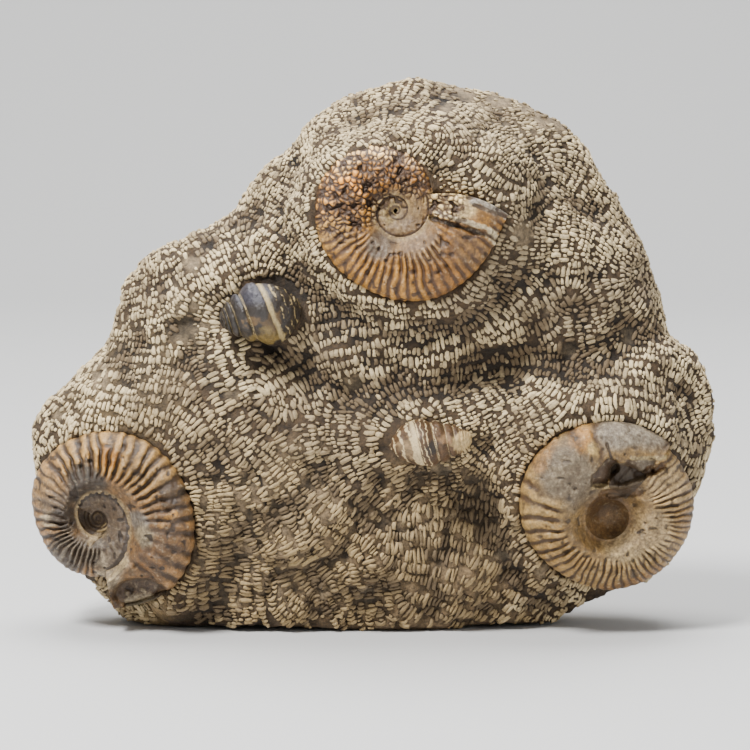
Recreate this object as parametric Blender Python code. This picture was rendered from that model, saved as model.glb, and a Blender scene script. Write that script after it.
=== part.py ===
"""Ammonite fossil plate: a chiselled limestone nodule with three ammonites and two sea snails in its face.

Metres, +Z up. The face with the fossils looks along -Y, and the nodule stands on flat feet at Z = 0.
Heights of the face are measured from the nodule's middle plane towards the viewer, so they become -Y.
The origin is below the middle of the whole piece, on the surface that it stands on.
"""

import math
from dataclasses import dataclass

import bmesh
import bpy
import numpy as np
from mathutils import Vector

MM = 0.001
FULL_TURN = 2 * math.pi
FIT_GAP = 0.5 * MM  # between a fossil and the socket that it sits in

# The nodule's front outline as (x, z) in mm, anticlockwise from its right side. It runs on below the
# floor, where the underside is then cut away.
OUTLINE = [
    (163, 106), (159, 121), (153, 132), (143, 142), (139, 157), (130, 177), (121, 197),
    (110, 213), (98, 232), (84, 245), (72, 251), (59, 255.5), (41, 258), (29, 260.5),
    (19, 262), (8, 260), (-6, 256), (-22, 248), (-33, 238), (-44, 227), (-56, 214),
    (-68, 198), (-82, 190.5), (-98, 183), (-111, 172.5), (-118, 161), (-123, 145),
    (-132.5, 130), (-145, 119), (-156.5, 106), (-162.5, 93), (-162, 78), (-161, 60),
    (-160, 44), (-152, 34), (-141, 26), (-134, 18), (-124, 6), (-110, -8), (-84, -18),
    (-40, -22), (10, -23), (50, -20), (78, -8), (98, 7), (110, 14), (128, 20), (142, 29),
    (150, 42), (153, 54), (158, 65), (162, 78), (164, 92),
]
HUB = (3.0, 108.0)  # every point of the outline can be seen from here, in mm
NODULE_FRONT = 47 * MM  # height of the face at its middle
NODULE_BACK = 50 * MM
FRONT_FLATNESS = 2.4  # more makes a flatter face with a tighter edge
BACK_FLATNESS = 2.1
FRONT_COLUMNS = 40  # upright columns of faces over the front
BACK_COLUMNS = 18
ROWS = 28  # from the underside to the top
EDGE_CROWDING = 0.4  # 0 spaces the columns and rows evenly over the face, 1 crowds them to its edge

# Swellings and hollows of the face: x, z, half length, half width, lean in degrees, height, all in mm.
FACE_LUMPS = [
    (40, 200, 62, 40, 0, 11),  # upper mass, which carries the top ammonite
    (104, 182, 26, 44, 20, 5),  # right shoulder
    (-71, 176, 28, 17, 25, 7),  # left shoulder
    (-64, 96, 42, 30, -20, 8),  # swelling over the left ammonite
    (-30, 52, 26, 32, 0, 4),  # belly
    (20, 97, 40, 14, 4, 9),  # ledge that the middle snail lies on
    (104, 112, 40, 20, 15, 8),  # mound over the right ammonite
    (62, 127, 70, 11, 10, -9),  # trough below the upper mass
    (-40, 133, 44, 10, -35, -8),  # trough from the left snail down to the middle
    (44, 71, 24, 16, -25, -12),  # hollow under the middle snail
    (62, 48, 9, 30, 20, -5),  # furrow beside the right ammonite
    (-78, 38, 16, 26, 10, -6),  # furrow beside the left ammonite
    (150, 92, 5, 26, -4, -5),  # groove behind the right ammonite's collar
    (-88, 148, 9, 6, 30, -5),  # chipped pit
    (46, 239, 5, 8, -10, -5),  # deep pit near the top
    (-48, 137, 7, 5, -30, -7),  # undercut below the left snail
]
# Waves over the whole rock: length, direction in degrees, shift in turns, height, in mm.
WAVES = [(61, 20, 0.1, 0.9), (43, 75, 0.4, 0.8), (37, -40, 0.7, 0.8), (29, 125, 0.2, 0.6), (24, 160, 0.6, 0.5)]
# Swellings of the back, in the same way.
BACK_LUMPS = [
    (-60, 150, 50, 40, 30, 6),
    (70, 90, 55, 40, -20, 7),
    (10, 200, 45, 26, 0, -6),
    (-90, 60, 40, 34, 0, -5),
]
# Where the underside is hollow between the feet: x, y, half length, half width, rise, all in mm.
UNDERSIDE_HOLLOWS = [
    (-52, -30, 36, 34, 3.6),
    (58, -26, 22, 30, 3.2),
    (-8, 26, 60, 16, 3.0),
]
UNDERSIDE_FLAT = 0.8 * MM  # a hollow shallower than this stays part of a foot
UNDERSIDE_ROUNDING = 7 * MM  # how soon the sides turn into the underside


@dataclass(frozen=True)
class Ammonite:
    """One ammonite, lying in the face. Lengths are in mm and angles in degrees."""

    name: str
    centre: tuple  # x, z of the navel
    height: float  # of the shell's middle plane at the navel, above the nodule's middle plane
    slope: tuple  # rise of that plane for each mm of x and of z
    mouth: float  # direction of the mouth, anticlockwise from +X
    growth: int  # 1 if the whorl grows anticlockwise, -1 if clockwise
    rim: tuple  # outer radius at each eighth of a turn back from the mouth
    seam: tuple  # inner edge of the same whorl, at the same places
    crest: float  # height of the whorl at the mouth, above the middle plane
    ribs: int  # in one turn
    rib_height: float
    mouth_lean: float  # how far the rim end of the mouth lies behind its inner end
    collar: tuple  # height of the rock at the rim above the middle plane: mean, and rise upwards
    dents: tuple = ()  # broken places: turn back from the mouth, place across, their sizes, depth
    navel: tuple = ()  # where the last whorl hides the others: share of the seam's radius, and height


AMMONITES = [
    Ammonite(
        name="ammonite_top", centre=(11, 202), height=54, slope=(0.05, -0.16), mouth=27, growth=1,
        rim=(52, 46.5, 43.5, 38.5, 38, 37.5, 32.5, 26, 19),
        seam=(16.3, 14.4, 12.7, 11.2, 9.9, 8.7, 7.7, 6.8, 6),
        crest=11, ribs=50, rib_height=0.9, mouth_lean=-29, collar=(0.5, 1.5),
    ),
    Ammonite(
        name="ammonite_left", centre=(-130.5, 54.5), height=31, slope=(0.36, 0.08), mouth=-80, growth=-1,
        rim=(44, 48, 46.5, 45.5, 40.5, 36, 30.5, 29.5, 28.5),
        seam=(24, 17.3, 14.7, 13.7, 12.5, 10.6, 8.7, 8.2, 8),
        crest=14, ribs=46, rib_height=1.3, mouth_lean=0, collar=(-1, 1.5),
        dents=((22, 0.62, 20, 0.42, 10),),
    ),
    Ammonite(
        name="ammonite_right", centre=(111.5, 57), height=39, slope=(-0.24, 0.2), mouth=50, growth=-1,
        rim=(45, 47, 47, 41, 35.5, 36.5, 38.5, 41.3, 42.3),
        seam=(12.5, 12, 11.8, 11.5, 11, 10.6, 9.8, 9.3, 9),
        crest=17, ribs=52, rib_height=1.0, mouth_lean=0, collar=(-1, 4),
        dents=((18, 0.27, 24, 0.16, 11),), navel=((0.8, 1.0), (0.55, -6.0), (0.0, -7.5)),
    ),
]
UNDERCUT = 2.5  # how far the shell draws in from its rim to its back, in mm
SHELL_ROOT = 11.0  # depth of the shell's flat back below its middle plane, in mm
CUTTER_TOP = 45.0  # the socket is cut open this far above the middle plane, in mm
SHELL_TURNS = 1.5
SHELL_COLUMNS = 4  # faces across the whorl


@dataclass(frozen=True)
class Snail:
    """One sea snail, lying half sunk in the face. Lengths are in mm."""

    name: str
    apex: tuple  # x, z and height of its tip above the nodule's middle plane
    foot: tuple  # the same for the middle of its last whorl's end
    width: float  # across the last whorl
    shrink: float  # length up to each whorl against that up to the next larger one
    swell: float  # roundness of the whorls
    blunt: float  # 1 for a straight-sided cone, less for a rounder, blunter tip
    turns: float


SNAILS = [
    Snail(
        name="snail_left", apex=(-71, 150, 50), foot=(-42, 156.5, 47), width=32,
        shrink=0.55, swell=0.1, blunt=0.5, turns=3,
    ),
    Snail(
        name="snail_middle", apex=(46, 95.5, 58.5), foot=(9, 93, 58), width=22,
        shrink=0.68, swell=0.12, blunt=0.5, turns=4,
    ),
]
SNAIL_ROWS = 16  # faces round one turn
SNAIL_COLUMNS = 3


def smooth_closed(points, steps=6):
    """Points on a Catmull-Rom curve through a closed row of points."""
    row = np.array(points, float)
    before, after, beyond = np.roll(row, 1, 0), np.roll(row, -1, 0), np.roll(row, -2, 0)
    curve = []
    for t in np.arange(steps) / steps:
        weights = (
            -t / 2 + t * t - t**3 / 2,
            1 - 2.5 * t * t + 1.5 * t**3,
            t / 2 + 2 * t * t - 1.5 * t**3,
            (t**3 - t * t) / 2,
        )
        curve.append(sum(w * p for w, p in zip(weights, (before, row, after, beyond))))
    return np.stack(curve, 1).reshape(-1, row.shape[1])


def outline_radius(angle):
    """Distance in metres from the hub to the nodule's outline, in a direction in the face."""
    curve = smooth_closed(OUTLINE) - np.array(HUB)
    angles = np.arctan2(curve[:, 1], curve[:, 0])
    radii = np.hypot(curve[:, 0], curve[:, 1])
    order = np.argsort(angles)
    return np.interp(angle, angles[order], radii[order], period=FULL_TURN) * MM


def lumps_at(x, z, lumps):
    """Summed height in metres of oval lumps at a place on the face or the back."""
    height = 0.0
    for lump_x, lump_z, half_length, half_width, lean, rise in lumps:
        c, s = math.cos(math.radians(lean)), math.sin(math.radians(lean))
        dx, dz = x / MM - lump_x, z / MM - lump_z
        along, across = (dx * c + dz * s) / half_length, (dz * c - dx * s) / half_width
        height += rise * math.exp(-(along**2 + across**2))
    return height * MM


def waves_at(x, z):
    """Height in metres of the gentle waves at a place on the face or the back."""
    height = 0.0
    for length, direction, shift, rise in WAVES:
        c, s = math.cos(math.radians(direction)), math.sin(math.radians(direction))
        height += rise * math.sin(FULL_TURN * ((x * c + z * s) / MM / length + shift))
    return height * MM


def smooth_step(low, high, value):
    """0 below low, 1 above high, and a smooth change between them. It also runs from high to low."""
    t = min(max((value - low) / (high - low), 0.0), 1.0)
    return t * t * (3 - 2 * t)


def eighths(values, back):
    """A value listed for each eighth of a turn, read smoothly at an angle back from the mouth.

    Past one turn it goes on shrinking by the same share for each turn.
    """
    turns, rest = divmod(back / FULL_TURN, 1.0)
    share = values[-1] / values[0]
    place = rest * (len(values) - 1)
    first = min(int(place), len(values) - 2)
    t = place - first
    ends = (
        values[first - 1] if first else values[-2] / share,
        values[first],
        values[first + 1],
        values[first + 2] if first + 2 < len(values) else values[1] * share,
    )
    bend = 0.5 * (
        2 * ends[1]
        + (ends[2] - ends[0]) * t
        + (2 * ends[0] - 5 * ends[1] + 4 * ends[2] - ends[3]) * t * t
        + (3 * ends[1] - ends[0] - 3 * ends[2] + ends[3]) * t**3
    )
    return bend * share**turns


def plane_height(shell, x, z):
    """Height in metres of an ammonite's middle plane at a place on the face."""
    rise = shell.slope[0] * (x / MM - shell.centre[0]) + shell.slope[1] * (z / MM - shell.centre[1])
    return (shell.height + rise) * MM


def fitted_to_shells(x, z, height, edge_room):
    """The face's height, drawn to the collar that each ammonite lies in."""
    for shell in AMMONITES:
        dx, dz = x / MM - shell.centre[0], z / MM - shell.centre[1]
        back = (math.radians(shell.mouth) - math.atan2(dz, dx)) * shell.growth % FULL_TURN
        radius = eighths(shell.rim, back)
        radius += (shell.rim[0] - radius) * smooth_step(0.75, 1.0, back / FULL_TURN)
        near = smooth_step(1.5, 1.0, math.hypot(dx, dz) / radius) * edge_room
        collar = shell.collar[0] + shell.collar[1] * dz / radius
        height += (plane_height(shell, x, z) + collar * MM - height) * near
    return height


def underside_level(x, y):
    """Height of the underside above the floor: nothing on the feet, and a little between them."""
    rise = 0.0
    for hollow_x, hollow_y, half_length, half_width, height in UNDERSIDE_HOLLOWS:
        along, across = (x / MM - hollow_x) / half_length, (y / MM - hollow_y) / half_width
        rise += height * math.exp(-(along**2 + across**2))
    return max(rise * MM - UNDERSIDE_FLAT, 0.0)


def nodule_point(direction):
    """Where a direction lies on the nodule: -Y is the middle of the face, and +Y that of the back."""
    polar = math.acos(max(-1.0, min(1.0, -direction.y)))
    from_middle = polar if direction.y < 0 else math.pi - polar
    spread = EDGE_CROWDING * math.sin(from_middle) + (1 - EDGE_CROWDING) * from_middle / (math.pi / 2)
    angle = math.atan2(direction.z, direction.x)
    reach = outline_radius(angle) * spread
    x = HUB[0] * MM + reach * math.cos(angle)
    z = HUB[1] * MM + reach * math.sin(angle)
    edge_room = smooth_step(1.0, 0.8, spread)
    if direction.y < 0:
        height = NODULE_FRONT * (1 - spread**FRONT_FLATNESS) ** 0.5
        height += (lumps_at(x, z, FACE_LUMPS) + waves_at(x, z)) * edge_room
        height = fitted_to_shells(x, z, height, edge_room)
    else:
        height = -NODULE_BACK * (1 - spread**BACK_FLATNESS) ** 0.5
        height -= (lumps_at(x, z, BACK_LUMPS) + waves_at(z, x)) * edge_room
    floor = underside_level(x, -height)
    overlap = max(UNDERSIDE_ROUNDING - abs(z - floor), 0.0)
    return Vector((x, -height, max(z, floor) + overlap**2 / (4 * UNDERSIDE_ROUNDING)))


def new_object(name, bm, material=None):
    """An object made of a bmesh, with its faces turned outwards."""
    bmesh.ops.recalc_face_normals(bm, faces=bm.faces)
    mesh = bpy.data.meshes.new(name)
    bm.to_mesh(mesh)
    bm.free()
    obj = bpy.data.objects.new(name, mesh)
    bpy.context.scene.collection.objects.link(obj)
    if material:
        mesh.materials.append(material)
    return obj


def make_nodule(material):
    """The rock before the sockets are cut: columns and rows of faces between a low and a high pole."""
    front = np.linspace(-math.pi / 2, math.pi / 2, FRONT_COLUMNS + 1)
    back = np.linspace(math.pi / 2, 3 * math.pi / 2, BACK_COLUMNS + 1)[1:-1]
    turns = [*front, *back]
    bm = bmesh.new()
    low, high = (bm.verts.new(nodule_point(Vector((0, 0, pole)))) for pole in (-1, 1))
    rows = []
    for step in range(1, ROWS):
        rise = -math.pi / 2 + math.pi * step / ROWS
        rows.append([
            bm.verts.new(nodule_point(Vector((
                math.sin(turn) * math.cos(rise), -math.cos(turn) * math.cos(rise), math.sin(rise)
            ))))
            for turn in turns
        ])
    for here in range(len(turns)):
        after = (here + 1) % len(turns)
        bm.faces.new((low, rows[0][after], rows[0][here]))
        bm.faces.new((high, rows[-1][here], rows[-1][after]))
        for row, above in zip(rows, rows[1:]):
            bm.faces.new((row[here], row[after], above[after], above[here]))
    bmesh.ops.triangulate(bm, faces=bm.faces)
    return new_object("matrix", bm, material)


def coil_surface(bm, rows_per_turn, turns, columns, place):
    """A coiled strip with its seams closed, from the mouth inwards.

    place(row, column) gives a point. A row's outer edge, past the first turn, is the inner edge of
    the row one turn before it. Returns the edge loop round the strip's outside, as vertices.
    """
    last = round(rows_per_turn * turns)
    grid = []
    for row in range(last + 1):
        points = [bm.verts.new(place(row, column)) for column in range(columns)]
        shared = row >= rows_per_turn
        points.append(grid[row - rows_per_turn][0] if shared else bm.verts.new(place(row, columns)))
        grid.append(points)
    for row, after in zip(grid, grid[1:]):
        for column in range(columns):
            bm.faces.new((row[column], row[column + 1], after[column + 1], after[column]))
    inside = [points[0] for points in grid[last - rows_per_turn :]] + grid[last][1:-1]
    middle = bm.verts.new(np.mean([vert.co for vert in inside], axis=0))
    for vert, after in zip(inside, inside[1:] + inside[:1]):
        bm.faces.new((vert, after, middle))
    return grid[0][:-1] + [points[-1] for points in grid[:rows_per_turn]]


def ring_surface(bm, rows, columns, place, middle):
    """A ring of faces that closes on itself, filled by the rings of points that middle lists.

    The last of these is one point. Returns the edge loop round the ring's outside.
    """
    grid = [[bm.verts.new(place(row, column)) for column in range(columns + 1)] for row in range(rows)]
    inner = [points[0] for points in grid]
    for row in range(rows):
        here, after = grid[row], grid[(row + 1) % rows]
        for column in range(columns):
            bm.faces.new((here[column], here[column + 1], after[column + 1], after[column]))
    for step in middle[:-1]:
        ring = [bm.verts.new(step(row)) for row in range(rows)]
        for row in range(rows):
            after = (row + 1) % rows
            bm.faces.new((inner[row], inner[after], ring[after], ring[row]))
        inner = ring
    centre = bm.verts.new(middle[-1](0))
    for row in range(rows):
        bm.faces.new((inner[row], inner[(row + 1) % rows], centre))
    return [points[-1] for points in grid]


def shell_point(shell, back, across, rib):
    """A point of an ammonite as x, z and height in mm, before the shell is laid in the face.

    back is the angle back from the mouth, across runs from 0 at the seam to 1 at the outer edge,
    and rib is 1 on a rib and -1 between two.
    """
    inner = eighths(shell.seam, back)
    rim = eighths(shell.rim, back)
    outer = rim if back < FULL_TURN else eighths(shell.seam, back - FULL_TURN)
    radius = inner + (outer - inner) * across
    size = rim / shell.rim[0]
    share = (radius - inner) / (rim - inner)
    flank = math.sqrt(max(1 - max(share - 0.35, 0.0) ** 2 / 0.65**2, 0.0))
    wall = 0.42 + 0.58 * smooth_step(0.0, 0.3, share)
    height = shell.crest * size**0.8 * flank * wall
    for dent_back, dent_across, long, wide, depth in shell.dents:
        along = (math.degrees(back) - dent_back) / long
        height -= depth * math.exp(-(along**4) - ((share - dent_across) / wide) ** 4)
    ribbing = shell.rib_height * size * smooth_step(0.1, 0.4, share) * rib
    lean = math.radians(shell.mouth_lean) * share * math.exp(-math.degrees(back) / 60)
    angle = math.radians(shell.mouth) - shell.growth * back + lean
    radius += ribbing * 0.4 * (share > 0.99)
    x, z = radius * math.cos(angle), radius * math.sin(angle)
    return x, z, max(height, 0.0) + ribbing * (share < 0.99)


def laid_in_face(shell, x, z, height):
    """World position of a point of an ammonite given in its own mm."""
    x, z = (shell.centre[0] + x) * MM, (shell.centre[1] + z) * MM
    return x, -(plane_height(shell, x, z) + height * MM), z


def drop_to_back(bm, loop, back_point):
    """A wall from a closed loop of vertices to a flat back, whose points back_point(index) gives."""
    ring = [bm.verts.new(back_point(index)) for index in range(len(loop))]
    for index, vert in enumerate(loop):
        after = (index + 1) % len(loop)
        bm.faces.new((vert, loop[after], ring[after], ring[index]))
    bm.faces.new(ring)


def inset_ring(points, distance):
    """A closed row of (x, z) points moved inwards by a distance, or outwards if it is negative."""
    row = np.array(points, float)
    ahead = np.roll(row, -1, 0)
    turning = np.sign(np.sum(row[:, 0] * ahead[:, 1] - row[:, 1] * ahead[:, 0]))
    edge = ahead - row
    edge /= np.linalg.norm(edge, axis=1, keepdims=True)
    normal = np.stack([-edge[:, 1], edge[:, 0]], 1) * turning
    before = np.roll(normal, 1, 0)
    meeting = np.maximum(1 + np.sum(normal * before, 1, keepdims=True), 0.5)
    return row + (normal + before) / meeting * distance


def make_ammonite(shell, material):
    """One ammonite: its whorls, its undercut rim and the flat back that is hidden in the rock."""
    bm = bmesh.new()
    rows = shell.ribs * 2

    def place(row, column):
        back = FULL_TURN * row / rows
        rib = 1 - 2 * (row % 2)
        return laid_in_face(shell, *shell_point(shell, back, column / SHELL_COLUMNS, rib))

    def navel_ring(share, height):
        def point(row):
            x, z, _ = shell_point(shell, FULL_TURN * row / rows, 0.0, 0.0)
            return laid_in_face(shell, x * share, z * share, height)

        return point

    if shell.navel:
        middle = [navel_ring(*step) for step in shell.navel]
        loop = ring_surface(bm, rows, SHELL_COLUMNS, place, middle)
    else:
        loop = coil_surface(bm, rows, SHELL_TURNS, SHELL_COLUMNS, place)
    flat = [
        (vert.co.x / MM - shell.centre[0], vert.co.z / MM - shell.centre[1]) for vert in loop
    ]
    tucked = inset_ring(flat, UNDERCUT)
    drop_to_back(bm, loop, lambda index: laid_in_face(shell, *tucked[index], -SHELL_ROOT))
    bmesh.ops.triangulate(bm, faces=bm.faces)
    return new_object(shell.name, bm, material)


def make_socket_cutter(shell):
    """The space that an ammonite needs in the rock, open towards the viewer."""
    places = [(row, 1.0) for row in range(0, shell.ribs * 2, 2)]
    if not shell.navel:
        places = [(0, column / SHELL_COLUMNS) for column in range(SHELL_COLUMNS)] + places
        places.append((shell.ribs * 2 - 1, 1.0))
    edge = [
        shell_point(shell, FULL_TURN * row / (shell.ribs * 2), across, 1.0)[:2]
        for row, across in places
    ]
    wide = inset_ring(edge, -FIT_GAP / MM)
    bm = bmesh.new()
    loop = [bm.verts.new(laid_in_face(shell, x, z, CUTTER_TOP)) for x, z in wide]
    bm.faces.new(loop)
    floor = -SHELL_ROOT - FIT_GAP / MM
    drop_to_back(bm, loop, lambda index: laid_in_face(shell, *wide[index], floor))
    bmesh.ops.triangulate(bm, faces=bm.faces)
    return new_object(shell.name + "_cutter", bm)


def snail_frame(snail):
    """Tip, axis length and the three directions of a snail: along it, across it and out of the face."""
    tip = Vector((snail.apex[0], -snail.apex[2], snail.apex[1])) * MM
    foot = Vector((snail.foot[0], -snail.foot[2], snail.foot[1])) * MM
    along = (foot - tip).normalized()
    across = along.cross(Vector((0.0, -1.0, 0.0))).normalized()
    return tip, (foot - tip).length, along, across, across.cross(along)


def make_snail(snail, material):
    """One sea snail: its whorls from the last one to the tip, and a rounded base."""
    tip, length, along, across, outward = snail_frame(snail)
    bm = bmesh.new()

    def place(row, column):
        turn = row / SNAIL_ROWS
        angle = FULL_TURN * turn
        size = snail.shrink**turn
        t = column / SNAIL_COLUMNS
        share = size * (snail.shrink + (1 - snail.shrink) * t)
        swelling = 1 + snail.swell * math.sin(math.pi * t)
        radius = snail.width / 2 * MM * share**snail.blunt * swelling
        return tip + along * length * share + (across * math.cos(angle) + outward * math.sin(angle)) * radius

    loop = coil_surface(bm, SNAIL_ROWS, snail.turns, SNAIL_COLUMNS, place)
    base = bm.verts.new(tip + along * (length + snail.width * 0.25 * MM))
    for vert, after in zip(loop, loop[1:] + loop[:1]):
        bm.faces.new((vert, after, base))
    bmesh.ops.triangulate(bm, faces=bm.faces)
    return new_object(snail.name, bm, material)


def make_snail_cutter(snail):
    """A rounded cone a little larger than a snail."""
    tip, length, along, across, outward = snail_frame(snail)
    bm = bmesh.new()
    rings = []
    for share in (0.03, 0.12, 0.3, 0.55, 0.8, 1.0):
        radius = snail.width / 2 * MM * share**snail.blunt * (1 + snail.swell) + FIT_GAP
        ring = []
        for step in range(SNAIL_ROWS):
            angle = FULL_TURN * step / SNAIL_ROWS
            side = across * math.cos(angle) + outward * math.sin(angle)
            ring.append(bm.verts.new(tip + along * length * share + side * radius))
        rings.append(ring)
    for ring, after in zip(rings, rings[1:]):
        for step in range(SNAIL_ROWS):
            other = (step + 1) % SNAIL_ROWS
            bm.faces.new((ring[step], ring[other], after[other], after[step]))
    ends = (-FIT_GAP * 2, length + snail.width * 0.25 * MM + FIT_GAP * 2)
    for ring, place in zip((rings[0], rings[-1]), ends):
        middle = bm.verts.new(tip + along * place)
        for step in range(SNAIL_ROWS):
            bm.faces.new((ring[step], ring[(step + 1) % SNAIL_ROWS], middle))
    return new_object(snail.name + "_cutter", bm)


def cut(target, cutter):
    """Cut one closed mesh out of another, and leave the cutter as a hidden wire."""
    modifier = target.modifiers.new(cutter.name, "BOOLEAN")
    modifier.operation = "DIFFERENCE"
    modifier.solver = "EXACT"
    modifier.object = cutter
    cutter.hide_render = True
    cutter.display_type = "WIRE"


def centre_over_origin():
    """Move every mesh so that the middle of what is shown is above the origin, on the floor."""
    shown = [obj for obj in bpy.data.objects if not obj.hide_render]
    corners = np.array([vert.co[:] for obj in shown for vert in obj.data.vertices])
    middle = (corners.min(0) + corners.max(0)) / 2
    for obj in bpy.data.objects:
        for vert in obj.data.vertices:
            vert.co -= Vector((middle[0], middle[1], corners[:, 2].min()))


def principled(name, colour, roughness):
    """A plain material of one colour."""
    material = bpy.data.materials.new(name)
    material.use_nodes = True
    shader = material.node_tree.nodes["Principled BSDF"]
    shader.inputs["Base Color"].default_value = (*colour, 1.0)
    shader.inputs["Roughness"].default_value = roughness
    material.diffuse_color = (*colour, 1.0)
    return material


def main():
    """Clear the scene and make the rock with its five fossils."""
    for obj in list(bpy.data.objects):
        bpy.data.objects.remove(obj)
    rock = make_nodule(principled("grey_brown_limestone", (0.27, 0.235, 0.195), 0.85))
    shell_colours = ((0.38, 0.22, 0.11), (0.33, 0.21, 0.11), (0.47, 0.36, 0.24))
    for shell, colour in zip(AMMONITES, shell_colours):
        make_ammonite(shell, principled(shell.name + "_calcite", colour, 0.5))
        cut(rock, make_socket_cutter(shell))
    snail_colours = ((0.12, 0.1, 0.09), (0.3, 0.24, 0.18))
    for snail, colour in zip(SNAILS, snail_colours):
        make_snail(snail, principled(snail.name + "_calcite", colour, 0.5))
        cut(rock, make_snail_cutter(snail))
    centre_over_origin()


main()
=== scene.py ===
"""Ammonite fossil plate: the visual model of a chiselled limestone nodule with five fossils.

Sizes are in millimetres where a name or comment says so, and metres otherwise. x runs to the right and z
up, both across the face, and a height is measured from the nodule's middle plane towards the viewer.
"""

import logging
import math
from dataclasses import dataclass, field
from enum import Enum
from itertools import product

import bpy
import numpy as np
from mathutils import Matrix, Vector
from mathutils.bvhtree import BVHTree

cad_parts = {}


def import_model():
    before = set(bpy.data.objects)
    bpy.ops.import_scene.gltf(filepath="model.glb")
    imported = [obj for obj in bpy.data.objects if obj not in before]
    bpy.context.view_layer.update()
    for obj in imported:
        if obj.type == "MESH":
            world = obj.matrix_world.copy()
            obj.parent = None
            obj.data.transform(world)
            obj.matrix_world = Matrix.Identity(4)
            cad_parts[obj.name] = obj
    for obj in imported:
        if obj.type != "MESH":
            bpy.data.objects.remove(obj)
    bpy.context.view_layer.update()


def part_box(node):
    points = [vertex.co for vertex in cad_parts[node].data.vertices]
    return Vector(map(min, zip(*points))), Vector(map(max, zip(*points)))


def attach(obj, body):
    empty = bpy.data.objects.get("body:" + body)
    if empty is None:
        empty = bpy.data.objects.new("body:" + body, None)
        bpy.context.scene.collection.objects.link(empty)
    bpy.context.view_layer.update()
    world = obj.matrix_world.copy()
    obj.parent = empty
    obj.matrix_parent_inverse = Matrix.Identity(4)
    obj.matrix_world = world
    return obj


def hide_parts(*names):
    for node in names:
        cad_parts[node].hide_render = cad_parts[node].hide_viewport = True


Array = np.ndarray
Piece = bpy.types.Object
Socket = bpy.types.NodeSocket
Table = tuple[tuple[float, ...], ...]

LOG = logging.getLogger("fossil_plate")
MM = 0.001
FULL_TURN = 2 * math.pi
SEED = 20
FAR = 99.0  # stands for out of reach, in mm
LEAN_FADE = 60.0  # degrees back from a mouth over which its lean fades
EDGE_STEPS = 240  # steps round a shell's edge, and along the edge of its mouth
LIP_STEPS = 20
WELD = 0.01 * MM  # how near two vertices of a coil are merged


def linear_colour(code: str) -> tuple[float, float, float, float]:
    """Turn an sRGB hex colour into linear light.

    Args:
        code: six hex digits after a hash sign.

    Returns:
        Red, green, blue and an alpha of one.
    """
    parts = [int(code[i : i + 2], 16) / 255 for i in (1, 3, 5)]
    linear = [c / 12.92 if c <= 0.04045 else ((c + 0.055) / 1.055) ** 2.4 for c in parts]
    return (*linear, 1.0)


def lay_over(colours: Array, code: str, cover: Array) -> None:
    """Lay a hex colour over rows of linear ones, in place, as fully as cover says, from 0 to 1."""
    colours += (np.array(linear_colour(code)[:3]) - colours) * cover[:, None]


def smooth_step(low: float, high: float, value: Array) -> Array:
    """Rise smoothly from 0 at low to 1 at high, which may also be the smaller of the two.

    Args:
        low: where the result is still 0.
        high: where the result has reached 1.
        value: the places to work it out for.

    Returns:
        One number from 0 to 1 for each place.
    """
    t = np.clip((np.asarray(value, float) - low) / (high - low), 0.0, 1.0)
    return t * t * (3 - 2 * t)


def lattice_value(cell: Array, seed: int) -> Array:
    """A fixed number from 0 to 1 for each lattice point, given as a row of three whole numbers."""
    mixed = cell[:, 0] * 374761393 + cell[:, 1] * 668265263 + cell[:, 2] * 1440662683
    mixed = (mixed + seed * 9176) & 0xFFFFFFFF
    mixed = ((mixed ^ (mixed >> 13)) * 1274126177) & 0xFFFFFFFF
    return ((mixed ^ (mixed >> 16)) & 0xFFFF) / 65535


def lattice_noise(points: Array, size: float, seed: int = 0) -> Array:
    """Smooth noise that repeats on every run.

    Args:
        points: places in metres, one row each.
        size: width in metres of one bump.
        seed: a different pattern for each number.

    Returns:
        One number from -1 to 1 for each place.
    """
    scaled = points / size + seed * 17.31
    cell = np.floor(scaled).astype(np.int64)
    t = scaled - cell
    t = t * t * (3 - 2 * t)
    total = np.zeros(len(points))
    for corner in range(8):
        step = np.array([corner & 1, corner >> 1 & 1, corner >> 2 & 1])
        share = np.prod(np.where(step == 1, t, 1 - t), axis=1)
        total += (2 * lattice_value(cell + step, seed) - 1) * share
    return total


def bumps(points: Array, layers: Table, level: float = 0.0) -> Array:
    """Sum layers of noise over a level.

    Args:
        points: places in metres, one row each.
        layers: for each layer its height, the width of a bump in mm, and its seed.
        level: what the layers are added to.

    Returns:
        One sum for each place.
    """
    return sum((height * lattice_noise(points, width * MM, seed) for height, width, seed in layers), level)


def pebble_edges(points: Array, size: float, seed: int) -> tuple[Array, Array]:
    """How far places on the face lie from the joints between packed pebbles, and which pebble they lie on.

    Args:
        points: places in metres.
        size: width of a pebble in metres.
        seed: a different pattern for each number.

    Returns:
        0 on a joint, rising to about 1 in the middle of a pebble; and each pebble's own number from 0 to 1.
    """
    flat = np.stack([points[:, 0], points[:, 2]], 1) / size
    cell = np.floor(flat).astype(np.int64)
    first, second, own = np.full(len(flat), 9.0), np.full(len(flat), 9.0), np.zeros(len(flat))
    for i in (-1, 0, 1):
        for j in (-1, 0, 1):
            at = cell + (i, j)
            key = np.column_stack([at, np.zeros(len(at), np.int64)])
            away = np.hypot(
                at[:, 0] + 0.05 + 0.9 * lattice_value(key, seed) - flat[:, 0],
                at[:, 1] + 0.05 + 0.9 * lattice_value(key, seed + 7) - flat[:, 1],
            )
            own = np.where(away < first, lattice_value(key, seed + 11), own)
            second = np.minimum(second, np.maximum(away, first))
            first = np.minimum(first, away)
    return second - first, own


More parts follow.
